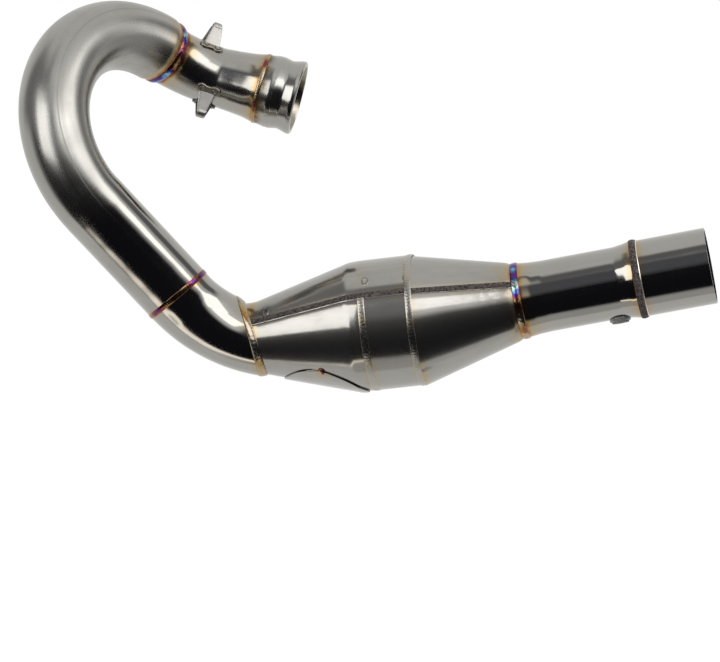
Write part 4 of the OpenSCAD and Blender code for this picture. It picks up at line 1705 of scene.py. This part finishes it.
@dataclass
class Chamber:
    """The stamped chamber: front and rear shells, the band, the round welds and the seams."""

    route: Route
    chamber_r: float = 43.8
    neck_r: float = 24.2
    neck_len: float = 5.0
    front_cone_len: float = 61.0
    shoulder_len: float = 12.0
    shoulder_drop: float = 2.0
    half_weld_at: float = 81.0
    seam_turn: float = 27.0
    seam_w: float = 4.8
    band_weld_w: float = 4.5
    inlet_weld_w: float = 5.0
    lap: float = 0.5
    dip_depth: float = 0.45
    dip_reach: float = 3.4
    row_pitch: float = 1.1
    pit_tall: float = 1.5
    front_marks: Marks = Marks(
        (DarkPatch(13.0, -42, 4.5, 4.5, 1.0), DarkPatch(6, -36, 4, 5, 0.8)),
        ((84.5, -42.0), (112.0, -41.0), (14.0, -38.0)),
    )
    # The third dark patch here is painted shade, which makes the rear cone's reflection fade
    # towards the outlet weld.
    rear_marks: Marks = Marks(
        (DarkPatch(1.5, 50, 5, 1.4, 1.0), DarkPatch(52, 38, 4, 0.7, 0.4), DarkPatch(74, -17, 34, 8, 0.62)),
        ((1.0, -41.0),),
    )

    @property
    def seam(self) -> float:
        """The angle of the near seam; the far one lies half a turn on."""
        return -math.radians(self.seam_turn)

    def front_skin(self) -> Skin:
        """The front shell's outside: neck, cone, rounded shoulder and band.

        Returns:
            The skin.
        """
        cone_end = self.neck_len + self.front_cone_len
        shoulder_r = self.chamber_r - self.shoulder_drop
        return Skin(
            self.route.front_path(),
            [-16, self.neck_len - 1.5, self.neck_len + 1.5, cone_end,
             cone_end + 0.4 * self.shoulder_len, cone_end + self.shoulder_len, 120],
            [self.neck_r, self.neck_r, self.neck_r + 0.45, shoulder_r, self.chamber_r - 0.55,
             self.chamber_r, self.chamber_r],
            2.5,
        )

    def rear_skin(self) -> Skin:
        """The rear shell's outside: a cone that eases into the outlet.

        Returns:
            The skin.
        """
        end = self.route.rear_cone_len
        outlet_r = self.route.outlet_r
        slope = (self.chamber_r - outlet_r) / end
        return Skin(
            self.route.rear_path(),
            [-8, end - 4.5, end - 2.5, end + 10],
            [self.chamber_r + 8 * slope, outlet_r + 4.5 * slope + 0.3, outlet_r, outlet_r],
            2.0,
        )

    def inlet_edge(self, front: Skin, angle: np.ndarray) -> np.ndarray:
        """Where lines along the front skin cross the slanting inlet cut.

        Args:
            front: The front outside.
            angle: The lines' angles.

        Returns:
            One distance for each line.
        """
        point = front.path.frames(np.zeros(1))[0][0]
        return front.cut(point, heading(*self.route.inlet_cut), angle, 0.0)

    def band_edge(self, rear: Skin, angle: np.ndarray) -> np.ndarray:
        """Where lines along the rear skin cross the band weld's plane.

        Args:
            rear: The rear outside.
            angle: The lines' angles.

        Returns:
            One distance for each line.
        """
        point = rear.path.frames(np.zeros(1))[0][0]
        normal = heading(self.route.chamber_rise, self.route.chamber_lean)
        return rear.cut(point, normal, angle, 0.0)

    def build(self, shop: Workshop) -> Skin:
        """Builds every piece of the chamber and returns the front skin for the badge.

        Args:
            shop: Takes the pieces.

        Returns:
            The front outside.
        """
        front = self.front_skin()
        rear = self.rear_skin()
        band = self.route.band_weld_at
        inset = self.band_weld_w / 2 - self.lap
        for name, way, end in (
            ("front_shell_upper", -1, band), ("front_shell_lower", 1, self.half_weld_at)
        ):
            angle = self.half_angles(way)
            start = self.inlet_edge(front, angle) + self.inlet_weld_w / 2 - 0.4
            stop = np.full_like(angle, end - inset)
            glows = [Glow(end, 0.42, 5.0, 3.0), Glow(4.0, 0.5, 5.0, 1.0), Glow(2.0, 0.3, 14.0, 2.0)]
            if way < 0:
                glows.append(Glow(self.half_weld_at, 0.22, 6.0, 5.0))
            shell = self.shell(front, angle, start, stop, glows, self.front_marks)
            shop.fit(name, "polished_shell", shell)
        angle = self.half_angles(1)
        start = np.full_like(angle, self.half_weld_at + inset)
        stop = np.full_like(angle, band - inset)
        glows = [Glow(self.half_weld_at, 0.42, 5.0, 4.0), Glow(band, 0.4, 5.0, 2.0)]
        shell = self.shell(front, angle, start, stop, glows, self.front_marks)
        shop.fit("band_lower", "polished_shell", shell)
        end = self.route.rear_cone_len
        for name, way in (("rear_shell_upper", -1), ("rear_shell_lower", 1)):
            angle = self.half_angles(way)
            start = self.band_edge(rear, angle) + inset
            stop = np.full_like(angle, end - self.route.outlet_weld_w / 2 + self.lap)
            glows = [Glow(0, 0.42, 6.0, 1.0), Glow(end, 0.68, 5.0, 6.0), Glow(end, 0.4, 15.0, 2.0)]
            shell = self.shell(rear, angle, start, stop, glows, self.rear_marks)
            shop.fit(name, "polished_shell", shell)
        self.welds(shop, front, rear)
        return front

    def half_angles(self, way: int) -> np.ndarray:
        """Angles over the half above (-1) or below (1) the seams, closer near the seams.

        Args:
            way: Which half, -1 or 1.

        Returns:
            Angles, in one row.
        """
        even = np.linspace(0, 1, 97)
        share = 0.65 * even + 0.35 * (0.5 - 0.5 * np.cos(math.pi * even))
        margin = 0.02
        return (self.seam + way * (margin + share * (math.pi - 2 * margin)))[None, :]

    def past_seam(self, skin: Skin, s: np.ndarray, angle: np.ndarray) -> np.ndarray:
        """How far each point lies past the closer of the two seams, round the skin.

        Args:
            skin: The outside.
            s: Distances along it.
            angle: Angles round it.

        Returns:
            Millimetres.
        """
        off = (angle - self.seam + math.pi / 2) % math.pi - math.pi / 2
        return off * skin.radius(s)

    def dip(self, skin: Skin, s: np.ndarray, angle: np.ndarray) -> np.ndarray:
        """How the shells fall towards the seams: a bell curve of the distance to the seam."""
        return -self.dip_depth * np.exp(-((self.past_seam(skin, s, angle) / self.dip_reach) ** 2))

    def shell(
        self, skin: Skin, angle: np.ndarray, start: np.ndarray, stop: np.ndarray,
        glows: list[Glow], marks: Marks,
    ) -> list[Sheet]:
        """Half a chamber wall between the seams.

        Args:
            skin: The chamber's outside.
            angle: Angles of the lines along it.
            start: Distance at which each line starts.
            stop: Distance at which it ends.
            glows: The heat beside the round welds.
            marks: The stains, painted shade and dents on it.

        Returns:
            The wall's sheets.
        """
        rows = max(int(float(np.mean(stop - start)) / self.row_pitch), 8)
        s = start + np.linspace(0, 1, rows)[:, None] * (stop - start)
        seam_glow = Glow(0, 0.4, 5.0, 2.0).on(self.past_seam(skin, s, angle), s * 0.05)
        heat = np.maximum(warmed(glows, s, angle), seam_glow)
        top = self.dip(skin, s, angle)
        made = slab(skin, s, angle, top, top - self.route.wall, heat)
        angle = np.broadcast_to(angle, s.shape)
        s, angle = np.concatenate([s, s[::-1]]), np.concatenate([angle, angle[::-1]])
        # The dark patches: stains, and on the rear cone also painted shade.
        dark_patches = [dark_patch.on(skin, s, angle) for dark_patch in marks.dark_patches]
        pits = [self.pit(skin, s, angle, *pit) for pit in marks.pits]
        made[0].extra["soot"] = np.maximum.reduce(dark_patches)
        made[0].extra["pit"] = np.maximum.reduce(pits)
        return made

    def pit(
        self, skin: Skin, s: np.ndarray, angle: np.ndarray, at: float, turn: float
    ) -> np.ndarray:
        """PIT_ZERO less the distance to a small ring dent, an upright oval half as tall again.

        Args:
            skin: The outside.
            s: Distances along it.
            angle: Angles round it.
            at: The dent's distance.
            turn: Its turn, degrees.

        Returns:
            The pit attribute.
        """
        across = (angle - math.radians(turn)) * skin.radius(s) / self.pit_tall
        return np.clip(PIT_ZERO - np.hypot(s - at, across), 0, PIT_ZERO)

    def welds(self, shop: Workshop, front: Skin, rear: Skin) -> None:
        """Builds the round welds and the four seams.

        Args:
            shop: Takes the pieces.
            front: The front outside.
            rear: The rear outside.
        """
        band = self.route.band_weld_at
        bead = Bead(self.band_weld_w, rise=0.35, ripple_pitch=2.2, sweep=0.9, uneven=0.2,
                    heat=0.22, heat_swing=0.14)
        shop.fit("band_weld", "weld_tinted", [ring_bead(front, band, bead)])
        flush = Bead(self.band_weld_w, rise=0.25, ripple_pitch=2.2, ripple_rise=0.1, sweep=0.9,
                     uneven=0.2, heat=0.24, heat_swing=0.14, seed=3.0)
        shop.fit("half_band_weld", "weld_tinted", self.half_ring(front, flush))
        outlet = self.route.rear_cone_len
        glassy = Bead(self.route.outlet_weld_w, rise=0.85, ripple_pitch=3.4, ripple_rise=0.14,
                      sweep=1.0, uneven=0.2, heat=0.68, heat_swing=0.3, seed=5.0, tilt=-0.3)
        shop.fit("chamber_outlet_weld", "weld_rainbow", [ring_bead(rear, outlet, glassy)])
        for side, angle in (("near", self.seam), ("far", self.seam + math.pi)):
            start = float(self.inlet_edge(front, np.array([angle]))[0])
            strip = self.seam_strip(front, angle, start + 2.2, band - 1.8)
            shop.fit("seam_front_" + side, "weld_dark", strip)
            start = float(self.band_edge(rear, np.array([angle]))[0])
            strip = self.seam_strip(rear, angle, start + 1.8, outlet - 2.2)
            shop.fit("seam_rear_" + side, "weld_dark", strip)

    def half_ring(self, skin: Skin, bead: Bead) -> list[Sheet]:
        """The band's first weld, which runs round the lower half only.

        Args:
            skin: The front outside.
            bead: Its make.

        Returns:
            The bead's sheets.
        """
        margin = 0.03
        columns = bead_columns(self.chamber_r, bead) // 2
        first = self.seam + margin
        angle = np.linspace(first, self.seam + math.pi - margin, columns)[:, None]
        across = np.cos(np.linspace(math.pi, 0, BEAD_ROWS))[None, :]
        length = angle * self.chamber_r
        s = self.half_weld_at + across * bead.width / 2
        top = bead.height(across, length)
        warmth = bead.warmth(across, length)
        return self.marked(slab(skin, s, angle, top, -0.5 + 0 * length, warmth), across)

    @staticmethod
    def marked(sheets: list[Sheet], across: np.ndarray) -> list[Sheet]:
        """Adds the place across the bead, which the bead finishes read.

        Args:
            sheets: The bead's sheets.
            across: Places across it, in one row.

        Returns:
            The same sheets.
        """
        for sheet in sheets:
            wide = sheet.points.shape[1] == across.shape[1]
            sheet.extra["across"] = across + 0 * sheet.heat if wide else 0.9 + 0 * sheet.heat
        return sheets

    def seam_strip(self, skin: Skin, angle: float, start: float, stop: float) -> list[Sheet]:
        """A long seam weld: a low bead with close ripples, along one line of the chamber.

        Args:
            skin: The outside.
            angle: The seam's angle.
            start: Distance of its first end.
            stop: Distance of its second.

        Returns:
            The bead's sheets.
        """
        bead = Bead(self.seam_w, rise=0.5, ripple_pitch=1.0, ripple_rise=0.1, sweep=0.6,
                    uneven=0.15, heat=0.35, heat_swing=0.1)
        rows = int((stop - start) / bead.ripple_pitch * 8)
        s = np.linspace(start, stop, rows)[:, None]
        across = np.cos(np.linspace(math.pi, 0, 13))[None, :]
        a = angle + across * (bead.width / 2) / skin.radius(s)
        top = bead.height(across, s) + 0.8 * self.dip(skin, s, angle + 0 * a)
        warmth = bead.warmth(across, s)
        return self.marked(slab(skin, s, a, top, top * 0 - 1.0, warmth), across)


@dataclass
class Badge:
    """The bare lens-shaped plate under the front cone, and its tack weld."""

    length: float = 57.0
    width: float = 40.0
    thickness: float = 1.0
    gap: float = 0.3
    at: float = 48.0
    turn: float = 80.0
    tack_r: float = 2.3
    tack_h: float = 1.9

    def build(self, shop: Workshop, front: Skin) -> None:
        """Builds the plate and the tack.

        Args:
            shop: Takes the pieces.
            front: The chamber's front outside.
        """
        middle = math.radians(self.turn)
        half = self.width / 2
        arc_r = ((self.length / 2) ** 2 + half**2) / self.width
        u = np.sin(np.linspace(-math.pi / 2, math.pi / 2, 91))[:, None]
        v = np.sin(np.linspace(-math.pi / 2, math.pi / 2, 41))[None, :]
        x = u * self.length / 2
        y = v * (np.sqrt(arc_r**2 - x**2) - (arc_r - half))
        s = self.at + x + 0 * y
        a = middle + np.arcsin(y / front.radius(s))
        edge = np.maximum(np.abs(v), np.abs(u) ** 4)
        top = self.gap + self.thickness * (1 - 0.3 * edge**24)
        heat = Glow(0, 0.4, 7.0, 1.0).on(np.hypot(x, y + half), 0 * x)
        plate = slab(front, s, a, top, self.gap + 0 * top, heat)
        shop.fit("badge_plate", "badge_steel", plate)
        ring = np.array([0.02, 0.4, 0.7, 0.9, 1.0, 1.0, 0.02])[:, None]
        rise = np.array([1.0, 0.95, 0.75, 0.45, 0.15, 0.0, 0.0])[:, None] * self.tack_h
        turn = round_angles(40)[None, :]
        s = self.at + self.tack_r * ring * np.cos(turn)
        across = -half + self.tack_r * ring * np.sin(turn)
        a = middle + np.arcsin(across / front.radius(s))
        lift = rise - 0.1 + 0 * turn
        tack = Sheet(front.at(s, a, lift), front.laid(s, a), 0.63 + 0.12 * np.cos(turn) + 0 * lift)
        tack.extra["across"] = ring + 0 * turn
        shop.fit("badge_tack", "weld_tinted", [tack])


@dataclass
class OutletEnd:
    """The outlet tube with its test port, the sleeve and the weld between them."""

    route: Route
    end_r: float = 25.8
    sleeve_r: float = 25.4
    outlet_len: float = 80.0
    sleeve_len: float = 48.0
    taper_len: float = 15.0
    flare_len: float = 11.0
    sleeve_weld_w: float = 5.4
    port_back: float = 17.0
    port_turn: float = 86.0
    boss_r: float = 7.0
    boss_h: float = 1.8
    plug_r: float = 4.0
    plug_gap: float = 0.1
    head_r: float = 5.7
    head_t: float = 1.1

    def build(self, shop: Workshop) -> None:
        """Builds the outlet's five pieces.

        Args:
            shop: Takes the pieces.
        """
        route = self.route
        path = route.rear_path()
        weld = route.rear_cone_len + self.outlet_len
        start = route.rear_cone_len + route.outlet_weld_w / 2
        end = weld - self.sleeve_weld_w / 2
        main_r = route.main_r
        grow = route.outlet_r - main_r
        skin = Skin(
            path,
            [start, start + 0.45 * self.taper_len, start + self.taper_len, end - self.flare_len,
             end - 0.4 * self.flare_len, end, weld - 0.5, weld + 1.2, weld + 100],
            [route.outlet_r, main_r + 0.35 * grow, main_r, main_r, main_r + 0.9, self.end_r,
             self.end_r, self.sleeve_r, self.sleeve_r],
            1.8,
        )
        glows = [Glow(start, 0.55, 5.0, 2.0), Glow(start, 0.36, 15.0, 3.0),
                 Glow(end, 0.42, 6.0, 4.0)]
        tube = tube_wall(skin, start - 0.5, end + 0.5, route.wall, glows, 1.0)
        shop.fit("outlet_tube", "polished_tube", [tube])
        bead = Bead(self.sleeve_weld_w, rise=0.8, ripple_pitch=1.3, ripple_rise=0.22, sweep=0.6,
                    uneven=0.12, heat=0.4, heat_swing=0.15)
        shop.fit("sleeve_weld", "weld_dark", [ring_bead(skin, weld, bead)])
        glows = [Glow(weld + 2, 0.45, 5.0, 6.0)]
        start = weld + self.sleeve_weld_w / 2 - 0.5
        sleeve = tube_wall(skin, start, weld + self.sleeve_len, route.wall, glows, 1.5)
        shop.fit("outlet_sleeve", "polished_tube", [sleeve])
        self.test_port(shop, path)

    def test_port(self, shop: Workshop, path: Path) -> None:
        """The boss and its plug, turned about an axis that leaves the tube downwards.

        Args:
            shop: Takes the pieces.
            path: The outlet's centreline.
        """
        s = np.array([self.route.rear_cone_len + self.outlet_len - self.port_back])
        centre, x_axis, y_axis = path.frames(s)
        turn = math.radians(self.port_turn)
        out = math.cos(turn) * x_axis[0] + math.sin(turn) * y_axis[0]
        axis = Path(centre[0], out, path.along)
        axis.straight(1.0)
        main_r = self.route.main_r
        top = main_r + self.boss_h
        low = main_r - 0.9
        hole = self.plug_r + self.plug_gap
        boss = turned(axis, [(hole, low), (self.boss_r, low), (self.boss_r, top - 0.6),
                             (self.boss_r - 0.2, top - 0.2), (self.boss_r - 0.6, top),
                             (hole, top)])
        shop.fit("test_boss", "boss_steel", [boss])
        crown = top + self.head_t
        foot = main_r - self.route.wall
        plug = turned(axis, [(0.01, foot), (self.plug_r, foot), (self.plug_r, top),
                             (self.head_r, top), (self.head_r, crown - 0.35),
                             (self.head_r - 0.35, crown), (2.6, crown), (2.5, crown - 0.7),
                             (0.01, crown - 0.7)])
        shop.fit("test_plug", "plug_dark", [plug])


@dataclass(frozen=True)
class Softbox:
    """A rectangular lamp that shows in the polished metal as a bright patch.

    turn and rise are degrees from the camera's side, wide and tall are its angular size.
    """

    name: str
    turn: float
    rise: float
    wide: float
    tall: float
    level: float
    distance: float = 1.7

    def place(self, middle: np.ndarray) -> None:
        """Adds the lamp, facing the middle. Its power gives its face the wanted level.

        Args:
            middle: The point that it faces.
        """
        t = math.radians(self.turn)
        r = math.radians(self.rise)
        way = np.array([math.sin(t) * math.cos(r), -math.cos(t) * math.cos(r), math.sin(r)])
        lamp = bpy.data.lights.new(self.name, "AREA")
        lamp.shape = "RECTANGLE"
        lamp.size = 2 * self.distance * math.tan(math.radians(self.wide / 2))
        lamp.size_y = 2 * self.distance * math.tan(math.radians(self.tall / 2))
        lamp.energy = self.level * math.pi * lamp.size * lamp.size_y
        made = bpy.data.objects.new(self.name, lamp)
        bpy.context.scene.collection.objects.link(made)
        made.location = middle + self.distance * way
        made.rotation_mode = "QUATERNION"
        made.rotation_quaternion = Vector(way).to_track_quat("Z", "Y")
        made.visible_camera = False


@dataclass(frozen=True)
class Panel:
    """A stretch of the surround with a colour of its own, between turns and rises in degrees.

    Turn 0 is the camera's side, 90 the right. soft is the half width of its borders.
    """

    left: float
    right: float
    low: float
    high: float
    soft: float
    colour: tuple[float, float, float]


@dataclass
class Studio:
    """A white surround with a dark camera side, softboxes, a floor and the camera."""

    middle: tuple[float, float, float] = (0.045, -0.05, -0.07)
    camera_at: tuple[float, float, float] = (0.04237, -2.248, -0.16052)
    focal_px: float = 3258.0
    picture_px: float = 720.0
    sensor_mm: float = 36.0
    floor_z: float = -0.42
    floor_reach: float = 12.0
    floor_shade: tuple[float, float, float, float] = (0.93, 0.93, 0.93, 1)
    floor_glow: tuple[float, float, float, float] = (0.2, 0.2, 0.2, 1)
    plain_light: tuple[float, float, float] = (0.92, 0.92, 0.92)
    backdrop: tuple[float, float, float] = (1.0, 1.0, 1.0)
    softboxes: tuple[Softbox, ...] = (
        Softbox("softbox_right", 59, 29, 38, 32, 1.7),
        Softbox("softbox_middle", 21, 28, 34, 23, 1.7),
        Softbox("softbox_left", -42, 15, 33, 42, 2.5),
    )
    surround: tuple[float, float, float] = (0.88, 0.88, 0.87)
    panels: tuple[Panel, ...] = (
        Panel(-100, 100, -120, -66, 5, (0.62, 0.61, 0.6)),
        Panel(74, 112, -58, 8, 9, (0.5, 0.5, 0.51)),
        Panel(93, 118, 10, 42, 5, (0.2, 0.2, 0.21)),
        Panel(-112, -24, 6, 60, 8, (0.24, 0.24, 0.25)),
        Panel(-32, -2, 4, 44, 6, (0.13, 0.135, 0.155)),
        Panel(-36, -20, 40, 78, 5, (0.2, 0.2, 0.21)),
        Panel(0, 84, 10, 54, 8, (1.1, 1.1, 1.1)),
        Panel(-84, 74, -66, 9, 6, (0.01, 0.01, 0.013)),
        Panel(-84, -14, -66, -62, 1.5, (2.2, 2.05, 1.85)),
    )

    def build(self) -> None:
        """Sets up the world, the lamps, the floor and the camera."""
        scene = bpy.context.scene
        scene.view_settings.view_transform = "Standard"
        self.world(scene)
        for softbox in self.softboxes:
            softbox.place(np.array(self.middle))
        self.floor()
        self.camera(scene)

    def world(self, scene: bpy.types.Scene) -> None:
        """White for the camera and for plain light; polished metal also sees the dark side.

        Args:
            scene: The scene.
        """
        made = bpy.data.worlds.new("white_surround")
        made.use_nodes = True
        scene.world = made
        pen = NodePen(made.node_tree)
        way = pen.add("ShaderNodeTexCoord").outputs["Generated"]
        split = pen.add("ShaderNodeSeparateXYZ", {0: way})
        x, y, z = split.outputs
        turn = pen.math("DEGREES", pen.math("ARCTAN2", x, pen.math("MULTIPLY", y, -1.0)))
        rise = pen.math("DEGREES", pen.math("ARCSINE", z))
        colour: object = self.surround
        for panel in self.panels:
            across = pen.band(turn, panel.left, panel.right, panel.soft)
            up = pen.band(rise, panel.low, panel.high, panel.soft)
            colour = pen.mixed(pen.math("MULTIPLY", across, up), colour, panel.colour)
        ray = pen.add("ShaderNodeLightPath").outputs
        shiny = pen.math("MAXIMUM", ray["Is Glossy Ray"], ray["Is Transmission Ray"])
        plain = pen.mixed(ray["Is Camera Ray"], self.plain_light, self.backdrop)
        seen = pen.mixed(shiny, plain, colour)
        back = pen.add("ShaderNodeBackground", {"Color": seen, "Strength": 1.0})
        pen.add("ShaderNodeOutputWorld", {"Surface": back.outputs[0]})

    def floor(self) -> None:
        """A plain pale floor that takes the shadow and stays out of the reflections."""
        far = self.floor_reach
        points = [(x * far, y * far, self.floor_z) for x, y in ((-1, -1), (1, -1), (1, 1), (-1, 1))]
        mesh = bpy.data.meshes.new("floor")
        mesh.from_pydata(points, [], [(0, 1, 2, 3)])
        made = bpy.data.objects.new("floor", mesh)
        bpy.context.scene.collection.objects.link(made)
        made.visible_glossy = False
        material = bpy.data.materials.new("pale_floor")
        material.use_nodes = True
        pen = NodePen(material.node_tree)
        matt = pen.add("ShaderNodeBsdfDiffuse", {"Color": self.floor_shade})
        glow = pen.add("ShaderNodeEmission", {"Color": self.floor_glow})
        both = pen.add("ShaderNodeAddShader", {0: matt.outputs[0], 1: glow.outputs[0]})
        pen.add("ShaderNodeOutputMaterial", {"Surface": both.outputs[0]})
        mesh.materials.append(material)

    def camera(self, scene: bpy.types.Scene) -> None:
        """The photograph's camera: level, looking along +Y.

        Args:
            scene: The scene.
        """
        lens = bpy.data.cameras.new("photo_camera")
        lens.sensor_width = self.sensor_mm
        lens.lens = self.focal_px / self.picture_px * self.sensor_mm
        made = bpy.data.objects.new("photo_camera", lens)
        scene.collection.objects.link(made)
        made.location = self.camera_at
        made.rotation_euler = (math.pi / 2, 0, 0)
        scene.camera = made


def write_sizes() -> None:
    """Updates the view layer.
    """
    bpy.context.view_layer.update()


def main() -> None:
    """Builds the header from its port to its outlet, then the studio round it."""
    logging.basicConfig(level=logging.INFO, format="%(name)s: %(message)s")
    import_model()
    route = Route()
    shop = Workshop()
    inlet = PortEnd(route).build(shop)
    SpringHooks(route).build(shop, inlet)
    chamber = Chamber(route)
    HeadPipe(route).build(shop, chamber.front_skin())
    front = chamber.build(shop)
    Badge().build(shop, front)
    OutletEnd(route).build(shop)
    Studio().build()
    write_sizes()


if __name__ == "__main__":
    main()
